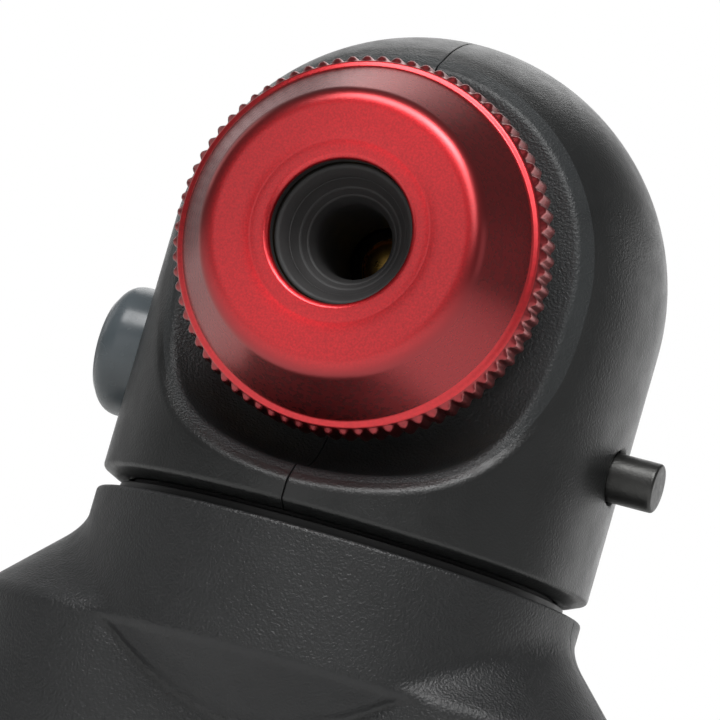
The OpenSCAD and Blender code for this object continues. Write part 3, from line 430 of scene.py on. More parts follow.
def head_column(angle):
    """One line of the right half from the chuck's hole over the dome to the rim."""
    c, s = math.cos(angle), math.sin(angle)
    wall = POCKET_UP * s + math.sqrt(POCKET_R ** 2 - (POCKET_UP * c) ** 2)
    rho = np.linspace(CHUCK_HOLE_R, wall, 240)
    x, z = rho * c, CHUCK_Z + rho * s
    past = np.clip(np.hypot(x, z - CHUCK_Z - POCKET_UP) - (POCKET_R - POCKET_FILLET), 0, POCKET_FILLET)
    d = FLOOR_D + POCKET_FILLET - np.sqrt(POCKET_FILLET ** 2 - past ** 2)
    rho = np.append(rho, [wall, wall])
    d = np.append(d, [d[-1] + 2, d[-1] + 8])
    inset = 1.25 * ease(-s, 0.1, 0.8)
    room = head_out(rho * c, CHUCK_Z + rho * s) - d - inset
    hit = np.argmax(room < 0)
    t = room[hit - 1] / (room[hit - 1] - room[hit])
    crest = np.array([rho[hit - 1], d[hit - 1]]) * (1 - t) + np.array([rho[hit], d[hit]]) * t
    line = np.vstack([np.stack([rho[:hit], d[:hit]], 1), crest])
    length = np.append(0, np.cumsum(np.linalg.norm(np.diff(line, axis=0), axis=1)))

    def on_line(at):
        return np.stack([np.interp(at, length, line[:, k]) for k in (0, 1)], -1)

    def outside(r):
        return np.array([r, float(head_out(r * c, CHUCK_Z + r * s))])

    low = ease(-s, 0.2, 0.9)
    soft = 0.25 + 0.15 * low
    crease = outside(crest[0] + 1.75 - 0.3 * low)
    beyond = outside(crease[0] + soft)
    before = on_line(length[-1] - 0.45)
    band = (crease - crest) / np.linalg.norm(crease - crest)
    flat = np.vstack([
        on_line(np.linspace(0, 1, 26)[:-1] ** 0.8 * (length[-1] - 0.45)),
        bend(before, crest, crest + band * 0.45, 6),
        (crest + band * 0.45) * 0.5 + (crease - band * soft) * 0.5,
        bend(crease - band * soft, crease, beyond, 6),
    ])
    front = np.stack([flat[:, 0] * c, -flat[:, 1], CHUCK_Z + flat[:, 0] * s], 1)
    turn = math.radians(np.interp(math.degrees(angle), RIM_TURN[0], RIM_TURN[1]))
    way = np.array([math.sin(turn), -math.cos(turn), 0])

    def at(radius, up):
        return way * radius + np.array([0, 0, RIM_LOW + up])

    centre = np.array([0, 0, SWING_Z])
    start, stop = front[-1] - centre, at(HEAD_R, BEVEL_UP + 0.35) - centre
    start, stop = start / np.linalg.norm(start), stop / np.linalg.norm(stop)
    swing = math.acos(np.clip(start @ stop, -1, 1))
    t = np.linspace(0, 1, 102)[1:-1, None]
    ways = (np.sin((1 - t) * swing) * start + np.sin(t * swing) * stop) / max(math.sin(swing), 1e-9)
    ways = ways / np.linalg.norm(ways, axis=1, keepdims=True)
    return np.vstack([
        front,
        dome_out(centre, ways),
        bend(at(HEAD_R, BEVEL_UP + 0.28), at(HEAD_R, BEVEL_UP), at(HEAD_R - 0.27, BEVEL_UP - 0.14), 5),
        bend(at(HEAD_R - BEVEL_IN + 0.2, 0.1), at(HEAD_R - BEVEL_IN, 0), at(HEAD_R - BEVEL_IN - 0.2, 0), 4),
        at(HEAD_R - BEVEL_IN - 0.8, 0),
    ])


def build_head(side):
    """Half of the head shell, split at x = 0, with the holes in its side."""
    edge = [-90, -89.8, -89.5, -89]
    angles = np.radians(edge + list(np.linspace(-88.3, 88.3, 232)) + [-a for a in reversed(edge)])
    grid = np.stack([head_column(a) for a in angles], 1)
    normal = grid_normals(grid)
    middle = np.array([0, 2.0, CHUCK_Z - 8])
    flip = np.sign(((grid - middle) * normal).sum(-1).mean())
    for column in (0, -1):
        grid[:, column] -= flip * normal[:, 1 if column == 0 else -2] * 0.14
        grid[:, column, 0] = SEAM_HALF
    rows, columns = grid.shape[:2]
    points = grid.reshape(-1, 3)
    faces = grid_faces(rows, columns)
    # The pocket's rows take the lighter pocket nylon: painted light.
    index = np.repeat(np.where(np.arange(rows - 1) < POCKET_ROWS, 1, 0), columns - 1)
    if flip > 0:
        faces = faces[:, ::-1]
    if side < 0:
        points[:, 0] *= -1
        faces = faces[:, ::-1]

    def settle(p):
        p[:, 0] = side * head_out(p[:, 1], p[:, 2])
        return p

    holes = [(0, SPOOL_Z, 2.32)]
    if side < 0:
        holes = [(0, SPOOL_Z, 5.45)] + [(y, CHUCK_Z + up, SCREW_HOLE_R) for y, up in HEAD_SCREWS]
    for y, z, r in holes:
        def distance(p):
            far = np.where(side * p[:, 0] > 2, 0, 50)
            return np.hypot(p[:, 1] - y, p[:, 2] - z) - r + far
        faces, index = pierce(points, faces, index, distance, settle)
    hand = "right" if side > 0 else "left"
    made = piece_from("head_half_" + hand, points, faces, [head_nylon, pocket_nylon_painted_light], index)
    walled(made, HEAD_WALL)
    put(made, "head", "head_plastic", "head_shell_" + hand)


build_head(1)
build_head(-1)


# ---------------- collar and mouth

TEETH = 77
KNURL_R, ROOT_R = 15.0, 14.6
# How deep each of a tooth's columns is cut, as a share of the full depth
TOOTH_WAVE = [0.0, 0.06, 0.36, 0.8, 1.0, 0.8, 0.36, 0.06]


def build_collar():
    """The knurled collar, spun from (radius, distance); a third number in knurl scales the teeth."""
    # The knurl's rows take the darker red: painted shade.
    knurl = np.array([
        (10.06, 14.75, 0), (10.12, 14.7, 0), (13.7, 14.7, 0), (14.1, 14.8, 0), (14.5, 15.3, 0.3),
        (14.9, 16.1, 0.85), (KNURL_R, 16.4, 1), (KNURL_R, 17.6, 1), (KNURL_R, 18.75, 1),
        (14.97, 18.95, 0.98), (14.8, 19.15, 0.62), (14.56, 19.3, 0.1),
    ])
    # The lip's rows take the brighter red: a painted highlight.
    lip = [(14.48, 19.4), (14.42, 19.52), (14.3, 19.6), (14.1, 19.63), (13.98, 19.7)]
    flank = [(13.9 - 0.598 * k, 19.85 + 1.08 * k) for k in range(4)]
    face = np.vstack([
        bend(np.array([11.51, 24.16]), np.array([10.95, 25.18]), np.array([9.8, 25.2]), 24),
        [(9.2, 25.2), (8.3, 25.2), (7.34, 25.2), (7.24, 25.165), (7.05, 25.165), (6.95, 25.19),
         (6.1, 25.19), (6.0, 25.17), (5.78, 24.96), (5.69, 24.83)],
    ])
    # The bore wall and the collar's inner back take the rubber's near-black: painted shade inside the mouth.
    bore_painted_shade = [(5.65, 24.6), (5.65, 24.2), (5.65, 23.74), (5.7, 23.7), (9.1, 23.7), (9.1, 22.6),
            (10.05, 22.6), (10.06, 22.5), (10.06, 18.5)]
    zones = [knurl[:, :2], lip, flank, face, bore_painted_shade]
    line = np.vstack(zones)
    share = np.zeros((len(line), 1))
    share[:len(knurl), 0] = knurl[:, 2]
    wave = np.tile(TOOTH_WAVE, TEETH)
    columns = len(wave)
    turn = np.arange(columns) * 2 * np.pi / columns
    r = line[:, :1] - (KNURL_R - ROOT_R) * share * wave
    points = np.stack([r * np.sin(turn), -line[:, 1:] + 0 * turn, CHUCK_Z + r * np.cos(turn)], -1)
    faces = grid_faces(len(line), columns, True, True)
    finishes = [red_knurl_painted_shade, red_lip_painted_highlight, red_turned, red_blasted, rubber]
    kind = np.repeat(range(len(zones)), [len(zone) * columns for zone in zones])
    made = piece_from("twist_collar", points.reshape(-1, 3), faces, finishes, kind)
    tidy(made)
    put(made, "collar", "collar_anodised", "chuck_collar")


build_collar()

# The rubber grommet: a flared mouth, a funnel with two faint ridges and the hole that grips the stem
grommet_line = rounded(
    [(2.95, 10.1), (7.0, 10.1), (7.0, 22.8), (5.6, 22.8), (5.6, 23.6), (5.25, 23.6), (4.7, 22.8),
     (4.5, 22.4), (4.05, 21.75), (3.93, 21.75), (3.55, 21.2), (3.43, 21.2), (2.95, 20.3)],
    [0.1, 0.2, 0.2, 0.1, 0.15, 0.2, 0.3, 0.3, 0.1, 0.06, 0.1, 0.06, 0.4])
put(spun("stem_grommet", grommet_line, "Y", (0, 0, CHUCK_Z), [rubber]), "head", "rubber", "valve_grommet")

depressor_line = rounded(
    [(0, -5), (1.5, -5), (1.5, 7.6), (3.2, 7.6), (3.2, 8.6), (2.3, 8.6), (2.1, 9.2), (1.2, 9.6), (0, 9.6)],
    [0, 0.2, 0.05, 0.15, 0.15, 0.1, 0.3, 0.6, 0])
# Only the tip is bright brass; the rest takes the dark brass, painted shade deep in the bore.
pin_painted_shade = np.where((depressor_line[:, 1] > 8.5) & (depressor_line[:, 0] < 2.6), 0, 1)
put(spun("core_pin", depressor_line, "Y", (0, 0, CHUCK_Z), [turned_brass, brass_painted_shade], 48, pin_painted_shade),
    "depressor", "brass", "core_depressor")


# ---------------- release button and spool

BUTTON_R, BUTTON_TIP = 5.32, 23.85
crown_r = np.linspace(4.05, 0, 12)
button_line = np.vstack([
    [(2.0, -16.5), (2.62, -16.5), (2.62, -17.9), (4.33, -17.9), (4.33, -16.5), (4.95, -16.5)],
    bend(np.array([BUTTON_R - 0.1, -16.5]), np.array([BUTTON_R, -16.5]), np.array([BUTTON_R, -16.6]), 3),
    bend(np.array([BUTTON_R, -21.2]), np.array([BUTTON_R, -22.4]), np.array([4.3, -22.93]), 10),
    np.stack([crown_r, 1.25 * (crown_r / BUTTON_R) ** 2 - BUTTON_TIP], 1),
    [(0, -19.5), (2.0, -19.5)],
])
put(spun("release_cap", button_line, "X", (0, 0, SPOOL_Z), [key_abs]), "release", "key_plastic",
    "release_button")

spool_line = rounded(
    [(0, -19.48), (2.0, -19.48), (2.0, -4.7), (1.38, -4.7), (1.38, -3.7), (2.0, -3.7), (2.0, -1.1),
     (1.3, -1.1), (1.3, 1.1), (2.0, 1.1), (2.0, 3.7), (1.38, 3.7), (1.38, 4.7), (2.0, 4.7), (2.0, 9.05),
     (1.5, 9.05), (1.5, 9.85), (2.0, 9.85), (2.0, 23.6), (0, 23.6)],
    [0, 0.15] + [0.05] * 16 + [0.32, 0], 6)
put(spun("release_rod", spool_line, "X", (0, 0, SPOOL_Z), [black_oxide], 64), "release", "spool_steel",
    "release_spool")


# ---------------- swivel ring

ring_line = rounded(
    [(8.3, NECK_TOP + 0.02), (18.3, NECK_TOP + 0.02), (18.3, 150.93), (17.3, 150.93), (17.3, 151.68),
     (8.3, 151.68)],
    [0.1, 0.1, 0.15, 0.1, 0.15, 0.1])
# The ring's near-black is painted shade for its groove under the head.
put(spun("swivel_slide_ring", ring_line, "Z", (0, 0, 0), [ring_acetal_painted_shade], 180), "body", "ring_plastic",
    "swivel_ring")


# ---------------- case

def stadium_reach(turn, radius):
    """Distance from the axis to a stadium's edge, turn counted from the front."""
    c, s = np.abs(np.cos(turn)), np.abs(np.sin(turn))
    flat = radius / np.maximum(c, 1e-6)
    inside = np.maximum(radius ** 2 - (END_X * c) ** 2, 0)
    return np.where(flat * s <= END_X, flat, END_X * s + np.sqrt(inside))


def melt(a, b, width):
    """The larger of two lengths, blended over a width where they cross."""
    share = np.clip(0.5 + 0.5 * (a - b) / width, 0, 1)
    return b + (a - b) * share + width * share * (1 - share)


def neck_cone(z):
    """The radius of the cone that carries the neck down into the shoulders."""
    return HEAD_R - (NECK_LOW - z) * (HEAD_R - BODY_R) / 5.3


def case_reach(turn, z):
    """How far the case stands out at a turn and a height."""
    up = z - EDGE_Z
    draw = np.where(up < -0.6, 0, np.where(up > 0.6, up, (up + 0.6) ** 2 / 2.4))
    body = stadium_reach(turn, np.maximum(BODY_R - draw, 0.5))
    low = z - NECK_LOW
    neck = np.where(low > 0.5, HEAD_R, np.where(low < -0.5, neck_cone(z), HEAD_R - (0.5 - low) ** 2 * 0.42))
    gap = neck - body
    reach = melt(body, neck, 1.3 + 0.3 * ease(z, NECK_LOW - 1, NECK_LOW + 1.5))
    under = (1 - ease(z, NECK_LOW - 1.0, NECK_LOW + 0.4)) * ease(np.abs(np.cos(turn)), 0.45, 0.75)
    groove = 0.36 * np.exp(-((gap + 0.15) / 0.50) ** 2) * under
    return reach - groove


FOOT_BEVEL = 0.25


def build_case(side):
    """Half of the case; side is -1 for the front, +1 for the back."""
    spans = [(5, 32, 1.5), (32, 44, 0.4), (44, 50, 1.2), (50, 66, 0.4), (66, 76, 1.5), (76, 82, 0.45),
             (82, 132, 2.5), (132, 137, 0.4), (137, 149.8, 0.16)]
    heights = np.concatenate([CASE_Z0 + np.array([0.02, 0.1, 0.3])] + [np.arange(*span) for span in spans])
    turn = np.linspace(-np.pi / 2, np.pi / 2, 901)
    reach = stadium_reach(turn, BODY_R)
    walk = np.append(0, np.cumsum(np.hypot(np.diff(reach * np.sin(turn)), np.diff(reach * np.cos(turn)))))
    stops = np.concatenate([[0, 0.07, 0.16], np.linspace(0.3, walk[-1] - 0.3, 250),
                            walk[-1] - np.array([0.16, 0.07, 0])])
    turn = np.interp(stops, walk, turn)
    z, t = np.meshgrid(heights, turn, indexing="ij")
    r = case_reach(t, z)
    r = r - np.maximum(CASE_Z0 + FOOT_BEVEL - z, 0)
    seam = np.zeros(len(turn))
    seam[[0, -1]] = SEAM_DEEP
    r = r - seam
    top = np.array([(HEAD_R, 149.82), (19.99, 149.95), (19.93, 150.07), (19.82, 150.16), (19.68, NECK_TOP),
                    (18.6, NECK_TOP), (15, NECK_TOP), (11, NECK_TOP), (8.3, NECK_TOP)])
    r = np.vstack([r, top[:, :1] - seam * 0.9])
    z = np.vstack([z, top[:, 1:] + 0 * turn])
    t = np.vstack([t, np.tile(turn, (len(top), 1))])
    points = np.stack([r * np.sin(t), side * r * np.cos(t), z], -1)
    points[:, 0, 1] = points[:, -1, 1] = side * SEAM_HALF
    rows, columns = points.shape[:2]
    body = stadium_reach(t, np.maximum(BODY_R - np.maximum(z - EDGE_Z, 0), 0.5))
    cone = neck_cone(z)
    smooth = (cone > body - 0.1) & (z < NECK_LOW + 0.1) & (z > NECK_LOW - 6)
    index = smooth[:-1, :-1].astype(int).ravel()
    points = points.reshape(-1, 3)
    faces = grid_faces(rows, columns)
    if side > 0:
        faces = faces[:, ::-1]

    def settle(p):
        around = np.arctan2(p[:, 0], side * p[:, 1])
        out = case_reach(around, p[:, 2])
        p[:, 1] = side * np.sqrt(np.maximum(out ** 2 - p[:, 0] ** 2, 0))
        return p

    def facing(p):
        return np.where(side * p[:, 1] > 1, 0, 50)

    holes = []
    if side < 0:
        def window(p):
            corner = 2.0
            dx = np.abs(p[:, 0]) - (12.0 - corner)
            dz = np.abs(p[:, 2] - WINDOW_Z) - (6.5 - corner)
            return (np.hypot(np.maximum(dx, 0), np.maximum(dz, 0)) + np.minimum(np.maximum(dx, dz), 0)
                    - corner + facing(p))
        holes.append(window)
        spots = [(-KEY_PITCH, KEYS_Z, 3.6), (0, KEYS_Z, 4.4), (KEY_PITCH, KEYS_Z, 3.6)]
    else:
        spots = [(s * x, z, SCREW_HOLE_R) for x, z in CASE_SCREWS for s in (-1, 1)]
    for x, h, radius in spots:
        holes.append(lambda p, x=x, h=h, radius=radius:
                     np.hypot(p[:, 0] - x, p[:, 2] - h) - radius + facing(p))
    for hole in holes:
        faces, index = pierce(points, faces, index, hole, settle)
    face = "front" if side < 0 else "back"
    made = piece_from("case_" + face, points, faces, [case_nylon, smooth_nylon], index)
    walled(made, CASE_WALL)
    put(made, "body", "case_plastic", "body_" + face + "_shell")


build_case(-1)
build_case(1)


# ---------------- window and keys

def rounded_rectangle(width, height, radius, steps=8):
    """The outline of a rectangle with round corners, counter-clockwise."""
    made = []
    for sx, sz, start in ((1, 1, 0), (-1, 1, 90), (-1, -1, 180), (1, -1, 270)):
        a = np.radians(np.linspace(start, start + 90, steps))
        made.append(np.stack([sx * (width / 2 - radius) + radius * np.cos(a),
                              sz * (height / 2 - radius) + radius * np.sin(a)], 1))
    return np.concatenate(made)


def plate(name, outline, layers, centre, material):
    """A plate facing -Y: the outline drawn in by each layer's inset at its depth, then capped."""
    outline = np.asarray(outline, float)
    edge = np.roll(outline, -1, 0) - np.roll(outline, 1, 0)
    out = np.stack([edge[:, 1], -edge[:, 0]], 1)
    out /= np.linalg.norm(out, axis=1, keepdims=True)
    rings = []
    for inset, y in layers:
        flat = outline - out * inset
        rings.append(np.stack([flat[:, 0], np.full(len(flat), y), flat[:, 1]], 1))
    points = np.concatenate(rings) + np.asarray(centre, float)
    n = len(outline)
    faces = grid_faces(len(layers), n, False, True).tolist()
    faces.append(list(range(n))[::-1])
    faces.append([(len(layers) - 1) * n + k for k in range(n)])
    return flat_piece(name, points, faces, material)


put(plate("display_lens", rounded_rectangle(23.8, 12.8, 1.9),
          [(0, -14.4), (0, -15.36), (0.05, -15.46), (0.14, -15.5)], (0, 0, WINDOW_Z), window_acrylic),
    "body", "window", "display_window")


def key_cap(name, x, radius, node):
    """A round key: a shallow dished top, a rounded rim, a flange behind the wall and a plunger."""
    line = np.vstack([
        [(0, -16.0), (radius * 0.35, -16.01), (radius * 0.7, -16.04)],
        bend(np.array([radius - 0.45, -16.1]), np.array([radius, -16.1]), np.array([radius, -15.65]), 6),
        [(radius, -13.2), (radius + 0.8, -13.2), (radius + 0.8, -12.5)],
        [(1.4, -12.5), (1.4, -12.2), (0, -12.2)],
    ])
    line[:, 1] *= -1
    put(spun(name, line, "Y", (x, 0, KEYS_Z), [key_abs], 72), node, "key_plastic", node)


key_cap("key_minus", -KEY_PITCH, 3.4, "minus_button")
key_cap("key_power", 0, 4.2, "power_button")
key_cap("key_plus", KEY_PITCH, 3.4, "plus_button")


MARK_THICK = 0.055


def mark(name, outlines, place, ink, body, slot):
    """Flat symbols at a place (x, z, front y), in millimetres, a hair proud of what carries them."""
    x, z, front = place
    points, faces = [], []
    for outline in outlines:
        outline = np.asarray(outline, float)
        start, n = len(points), len(outline)
        for y in (front + MARK_THICK, front):
            points += [(x + px, y, z + pz) for px, pz in outline]
        faces += (start + grid_faces(2, n, False, True)).tolist()
        faces += [list(range(start, start + n))[::-1], list(range(start + n, start + 2 * n))]
    put(flat_piece(name, points, faces, ink), body, slot)


def bar(width, height):
    """The outline of an upright rectangle about the origin."""
    w, h = width / 2, height / 2
    return [(-w, -h), (w, -h), (w, h), (-w, h)]


def arc_band(radius, width, gap_degrees, steps=28):
    """A ring open at its top by a gap."""
    a = np.radians(np.linspace(90 + gap_degrees / 2, 450 - gap_degrees / 2, steps))
    outer = np.stack([np.cos(a), np.sin(a)], 1) * (radius + width / 2)
    inner = np.stack([np.cos(a), np.sin(a)], 1) * (radius - width / 2)
    return np.concatenate([outer, inner[::-1]])


plus = [(-0.19, -1.1), (0.19, -1.1), (0.19, -0.19), (1.1, -0.19), (1.1, 0.19), (0.19, 0.19),
        (0.19, 1.1), (-0.19, 1.1), (-0.19, 0.19), (-1.1, 0.19), (-1.1, -0.19), (-0.19, -0.19)]
power = [arc_band(1.15, 0.36, 70), [(px, pz + 1.05) for px, pz in bar(0.36, 1.1)]]
for name, outlines, x in (("minus", [bar(2.2, 0.38)], -KEY_PITCH), ("power", power, 0),
                          ("plus", [plus], KEY_PITCH)):
    mark(name + "_mark", outlines, (x, KEYS_Z, -16.075), print_ink, name + "_button", "key_plastic")


# The strokes of a digit: the middle of each, and whether it lies or stands
STROKES = {"a": (0, 2, True), "b": (1, 1, False), "c": (1, -1, False), "d": (0, -2, True),
           "e": (-1, -1, False), "f": (-1, 1, False), "g": (0, 0, True)}
HALF_WIDTH, QUARTER_HEIGHT, STROKE, STROKE_GAP = 1.5, 1.6, 0.3, 0.12


def digit(strokes, x):
    """The outlines of one digit of the display, each stroke a bar with pointed ends."""
    made = []
    for letter in strokes:
        cx, cz, lies = STROKES[letter]
        reach = (HALF_WIDTH if lies else QUARTER_HEIGHT) - STROKE_GAP
        shape = [(-reach, 0), (STROKE - reach, -STROKE), (reach - STROKE, -STROKE), (reach, 0),
                 (reach - STROKE, STROKE), (STROKE - reach, STROKE)]
        if not lies:
            shape = [(-b, a) for a, b in shape]
        made.append([(x + cx * HALF_WIDTH + a, cz * QUARTER_HEIGHT + b) for a, b in shape])
    return made


put(plate("display_face", rounded_rectangle(20.0, 9.8, 0.8), [(0, -15.3), (0, -15.5), (0.03, -15.52)],
          (0, 0, WINDOW_Z), display_glass), "body", "window")
point = [(1.75 + a, -3.2 + b) for a, b in bar(0.6, 0.6)]
reading = digit("abcdg", -5.2) + digit("acdfg", -0.4) + [point] + digit("abcdef", 3.9)
mark("display_digits", reading, (0, WINDOW_Z, -15.545), digit_black, "body", "window")


# ---------------- screws and their wells

def group(name, sizes):
    """A Geometry Nodes tree with a mesh input, the named sizes in millimetres and a mesh output."""
    tree = bpy.data.node_groups.new(name, "GeometryNodeTree")
    tree.interface.new_socket("Places", in_out="INPUT", socket_type="NodeSocketGeometry")
    for key, value in sizes.items():
        made = tree.interface.new_socket(key, in_out="INPUT", socket_type="NodeSocketFloat")
        made.default_value = value * MM
    tree.interface.new_socket("Turn", in_out="INPUT", socket_type="NodeSocketVector")
    tree.interface.new_socket("Finish", in_out="INPUT", socket_type="NodeSocketMaterial")
    tree.interface.new_socket("Mesh", in_out="OUTPUT", socket_type="NodeSocketGeometry")
    return tree, add(tree, "NodeGroupInput").outputs


def placed(tree, given, shape):
    """Puts the shape at every place, turned, as real mesh with its finish."""
    many = add(tree, "GeometryNodeInstanceOnPoints",
               {"Points": given["Places"], "Instance": shape, "Rotation": given["Turn"]})
    solid = add(tree, "GeometryNodeRealizeInstances", {"Geometry": many.outputs[0]})
    finished = add(tree, "GeometryNodeSetMaterial",
                   {"Geometry": solid.outputs[0], "Material": given["Finish"]})
    add(tree, "NodeGroupOutput", {0: finished.outputs[0]})


def lifted(tree, shape, height):
    """Moves a shape up by a height."""
    up = add(tree, "ShaderNodeCombineXYZ", {"Z": height}).outputs[0]
    return add(tree, "GeometryNodeTransform", {"Geometry": shape, "Translation": up}).outputs[0]


def rod(tree, radius, length, sides=32, top=None):
    """A closed rod, or a cone frustum, that stands on the origin."""
    return add(tree, "GeometryNodeMeshCone", {"Vertices": sides, "Radius Bottom": radius,
                                              "Radius Top": top or radius, "Depth": length}).outputs[0]


def screw_tree():
    """A cap screw with its seat at the origin: shank, head with a chamfered crown, six-sided socket."""
    tree, given = group("cap_screw", {
        "Head radius": SCREW_HEAD_R, "Side height": SCREW_HEAD_H - 0.25, "Crown height": 0.25,
        "Crown radius": SCREW_HEAD_R - 0.25, "Shank radius": 1.0, "Shank length": 4.0, "Shank lift": -3.9,
        "Socket radius": 0.95, "Socket length": SCREW_HEAD_H, "Socket lift": SCREW_HEAD_H - 0.8})
    side = rod(tree, given["Head radius"], given["Side height"])
    crown = rod(tree, given["Head radius"], given["Crown height"], 32, given["Crown radius"])
    shank = rod(tree, given["Shank radius"], given["Shank length"], 20)
    body = add(tree, "GeometryNodeMeshBoolean", {"Mesh": side}, operation="UNION", solver="EXACT")
    for extra, lift in ((crown, "Side height"), (shank, "Shank lift")):
        tree.links.new(lifted(tree, extra, given[lift]), body.inputs["Mesh"])
    socket = rod(tree, given["Socket radius"], given["Socket length"], 6)
    cut = add(tree, "GeometryNodeMeshBoolean",
              {"Mesh 1": body.outputs["Mesh"], "Mesh 2": lifted(tree, socket, given["Socket lift"])},
              operation="DIFFERENCE", solver="EXACT")
    placed(tree, given, cut.outputs["Mesh"])
    return tree


def well_tree():
    """The smooth well that a screw head sits in: a cup that is open above, its floor on the seat."""
    tree, given = group("screw_well", {
        "Cup radius": WELL_R + WELL_WALL, "Cup length": 6.9, "Cup lift": -0.4,
        "Room radius": WELL_R, "Room length": 7.5})
    cup = lifted(tree, rod(tree, given["Cup radius"], given["Cup length"]), given["Cup lift"])
    room = rod(tree, given["Room radius"], given["Room length"])
    cut = add(tree, "GeometryNodeMeshBoolean", {"Mesh 1": cup, "Mesh 2": room},
              operation="DIFFERENCE", solver="EXACT")
    placed(tree, given, cut.outputs["Mesh"])
    return tree


def grown(name, tree, places, turn, finish):
    """Runs a tree on a set of points in millimetres and keeps the mesh that it makes."""
    seeds = bpy.data.meshes.new(name + "_places")
    seeds.from_pydata((np.asarray(places, float) * MM).tolist(), [], [])
    carrier = linked(name + "_carrier", seeds)
    nodes = carrier.modifiers.new("grow", "NODES")
    nodes.node_group = tree
    ids = {item.name: item.identifier for item in tree.interface.items_tree if item.in_out == "INPUT"}
    nodes[ids["Turn"]] = [math.radians(a) for a in turn]
    nodes[ids["Finish"]] = finish
    found = carrier.evaluated_get(bpy.context.evaluated_depsgraph_get())
    mesh = bpy.data.meshes.new_from_object(found)
    mesh.name = name
    bpy.data.objects.remove(carrier)
    mesh.shade_smooth()
    for edge in sharp_edges(mesh):
        edge.use_edge_sharp = True
    return linked(name, mesh)


def sharp_edges(mesh, angle=0.6):
    """The edges at which the surface turns by more than the angle."""
    work = bmesh.new()
    work.from_mesh(mesh)
    found = [e.index for e in work.edges if len(e.link_faces) != 2 or e.calc_face_angle(0) > angle]
    work.free()
    return [mesh.edges[i] for i in found]


def case_depth(x, z):
    """How far the case stands out to the front and back at a place."""
    low, high = np.full(np.shape(x), 0.5), np.full(np.shape(x), 21.0)
    for _ in range(24):  # halving the span each time
        middle = (low + high) / 2
        inside = np.hypot(x, middle) < case_reach(np.arctan2(x, middle), z)
        low, high = np.where(inside, middle, low), np.where(inside, high, middle)
    return low


# Screw heads and the rims of their wells stay this far under the surface
UNDER = 0.3


def seat(surface, a, z):
    """How far out a screw's seat lies, for its whole head to stay under the surface."""
    turn = np.linspace(0, 2 * math.pi, 24)
    rim = surface(a + SCREW_HEAD_R * np.cos(turn), z + SCREW_HEAD_R * np.sin(turn))
    return float(np.min(rim)) - SCREW_HEAD_H - UNDER


def trimmed(wells, axis, side, surface):
    """Cuts the wells off under the surface, inside the shell's wall."""
    mesh = wells.data
    points = np.empty(len(mesh.vertices) * 3)
    mesh.vertices.foreach_get("co", points)
    points = points.reshape(-1, 3) / MM
    limit = surface(points[:, 1 - axis], points[:, 2]) - UNDER
    points[:, axis] = side * np.minimum(side * points[:, axis], limit)
    mesh.vertices.foreach_set("co", (points * MM).ravel())
    mesh.update()
    return wells


cap_screw = screw_tree()
screw_well = well_tree()
case_seats = [(s * x, seat(case_depth, x, z), z) for x, z in CASE_SCREWS for s in (-1, 1)]
head_seats = [(-seat(head_out, y, CHUCK_Z + up), y, CHUCK_Z + up) for y, up in HEAD_SCREWS]
base_seats = [(s * BASE_SCREW_X, 2.2, 2.7) for s in (-1, 1)]
for name, places, turn, body, node in (("case_screw_set", case_seats, (-90, 0, 0), "body", "case_screws"),
                                       ("head_screw_set", head_seats, (0, -90, 0), "head", "head_screws"),
                                       ("base_screw_set", base_seats, (180, 0, 0), "body", "base_screws")):
    put(grown(name, cap_screw, places, turn, black_oxide), body, "steel", node)
case_wells = grown("case_screw_wells", screw_well, case_seats, (-90, 0, 0), case_nylon)
put(trimmed(case_wells, 1, 1, case_depth), "body", "case_plastic")
head_wells = grown("head_screw_wells", screw_well, head_seats, (0, -90, 0), head_nylon)
put(trimmed(head_wells, 0, -1, head_out), "head", "head_plastic")


# ---------------- finishes of the inner nodes

for finish, names in (
        (case_nylon, "base_cap"),
        (rubber, "foot_pad stem_o_rings head_gasket piston_ring barrel_seal spool_o_rings"),
        (turned_brass, "swivel_stem motor_pinion chuck_barrel thrust_washer"),
        (cast_alloy, "pump_head pump_cylinder pump_frame connecting_rod piston valve_block"),
        (spring_steel, "outlet_reed depressor_spring spool_spring spool_circlip"),
        (zinc_steel, "tie_bolts gear_axle crank_pin wrist_pin motor_can motor_shaft motor_screws"),
        (zinc_steel, "cell_tabs board_screws charge_port key_switches"),
        (gear_acetal, "crank_gear"),
        (inner_nylon, "motor_end_cap"),
        (cell_sleeve, "battery_cells"),
        (tray_abs, "battery_tray"),
        (board_mask, "circuit_board"),
        (display_glass, "display_panel")):
    for node in names.split():
        NODES[node].data.materials.clear()
        NODES[node].data.materials.append(finish)


# ---------------- floor, light and camera

FLOOR_HALF, FLOOR_Z = 3000, -0.05


def reflected(tree, rays):
    """1 for what metal and glass show, 0 for the rest."""
    return add(tree, "ShaderNodeMath", {0: rays["Is Glossy Ray"], 1: rays["Is Transmission Ray"]},
               operation="MAXIMUM").outputs[0]


# White paper: it glows to the camera like the backdrop, and keeps the shadow near the object
paper, tree, skin, where = shader("floor_paper", Roughness=0.9)
corners = [(x * FLOOR_HALF, y * FLOOR_HALF, FLOOR_Z) for x, y in ((-1, -1), (1, -1), (1, 1), (-1, 1))]
floor = piece_from("floor", corners, [(0, 1, 2, 3)], [paper])
tint(tree, skin, speckle(tree, where, 2.0), "#dfdfdd", "#e6e6e4")
glow = add(tree, "ShaderNodeEmission", {"Color": linear("#ffffff"), "Strength": 1.0})
rays = add(tree, "ShaderNodeLightPath").outputs
away = add(tree, "ShaderNodeVectorMath", {0: where}, operation="LENGTH").outputs["Value"]
fade = add(tree, "ShaderNodeMapRange",
           {"Value": away, "From Min": 0.2, "From Max": 1.3, "To Min": 0.8, "To Max": 1.0},
           interpolation_type="SMOOTHSTEP").outputs["Result"]
seen = add(tree, "ShaderNodeMath", {0: rays["Is Camera Ray"], 1: fade}, operation="MULTIPLY")
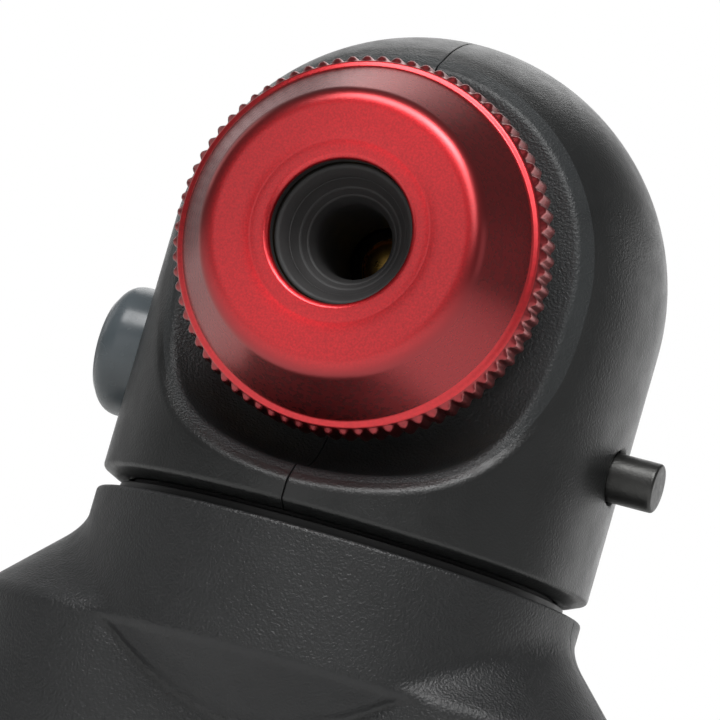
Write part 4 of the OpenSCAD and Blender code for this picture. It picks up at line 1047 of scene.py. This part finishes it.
mirrored = add(tree, "ShaderNodeMath", {0: reflected(tree, rays), 1: 0.3}, operation="MULTIPLY")
share = add(tree, "ShaderNodeMath", {0: seen.outputs[0], 1: mirrored.outputs[0]}, operation="MAXIMUM")
blend = add(tree, "ShaderNodeMixShader", {0: share.outputs[0], 1: skin.outputs[0], 2: glow.outputs[0]})
seen_side = next(n for n in tree.nodes if n.type == "OUTPUT_MATERIAL").inputs["Surface"]
tree.links.new(blend.outputs[0], seen_side)

# The room: a white backdrop behind the object, grey walls at its sides and soft light all round
world = bpy.data.worlds.new("studio")
bpy.context.scene.world = world
world.use_nodes = True
tree = world.node_tree
tree.nodes.clear()
rays = add(tree, "ShaderNodeLightPath").outputs
way = add(tree, "ShaderNodeTexCoord").outputs["Generated"]
BEHIND = (-0.150, 0.984, 0.096)
toward = add(tree, "ShaderNodeVectorMath", {0: way, 1: BEHIND}, operation="DOT_PRODUCT").outputs["Value"]
backdrop = add(tree, "ShaderNodeMapRange",
               {"Value": toward, "From Min": 0.84, "From Max": 0.98, "To Min": 0.14, "To Max": 1.6},
               interpolation_type="SMOOTHSTEP").outputs["Result"]
lit = add(tree, "ShaderNodeMix", {0: reflected(tree, rays), 2: 0.3, 3: backdrop}, data_type="FLOAT")
level = add(tree, "ShaderNodeMix", {0: rays["Is Camera Ray"], 2: lit.outputs[0], 3: 1.0}, data_type="FLOAT")
glow = add(tree, "ShaderNodeBackground", {"Color": (1, 1, 1, 1), "Strength": level.outputs[0]})
add(tree, "ShaderNodeOutputWorld", {0: glow.outputs[0]})


def lamp(name, place, size, power, aim_z=165):
    """A white soft box at place that faces the neck axis at the height aim_z, in millimetres."""
    light = bpy.data.lights.new(name, "AREA")
    light.shape = "RECTANGLE"
    light.size, light.size_y = size[0] * MM, size[1] * MM
    light.energy = power
    made = linked(name, light)
    at, to = Vector(place) * MM, Vector((0, 0, aim_z)) * MM
    made.visible_camera = False
    made.location = at
    made.rotation_euler = (to - at).to_track_quat("-Z", "Y").to_euler()


# The overhead box leans over the front; the strip in it is brighter, and the rest is bounced light
lamp("overhead_softbox", (-20, -470, 815), (760, 330), 5.6)
lamp("overhead_strip", (145, -425, 830), (250, 200), 1.1)
lamp("right_bounce", (330, -600, 560), (300, 300), 0.75)
lamp("front_card", (-225, -760, 250), (350, 350), 0.26)
lamp("back_top_bounce", (-160, 560, 700), (420, 400), 0.8)
lamp("left_bounce", (-480, 530, 520), (360, 360), 0.15)
lamp("left_card", (-680, 400, 205), (350, 350), 0.1)
lamp("left_top_card", (-700, 200, 450), (350, 350), 0.22, 150)
lamp("right_card", (760, -80, 365), (350, 350), 0.15)
lamp("right_rim_softbox", (470, 640, 240), (380, 620), 1.0, 150)

# The camera looks up at the head from the front right, rolled so that the neck leans to the left
camera = bpy.data.cameras.new("camera")
camera.sensor_width = 36
camera.lens = 376.2
camera.clip_start = 0.01
view = linked("camera", camera)
axes = Matrix(((0.9295, -0.2416, 0.2792), (0.2436, -0.1669, -0.9554), (0.2774, 0.9561, -0.0962)))
view.matrix_world = Matrix.Translation((0.16478, -0.57378, 0.10798)) @ axes.to_4x4()
bpy.context.scene.camera = view
bpy.context.scene.view_settings.view_transform = "Standard"
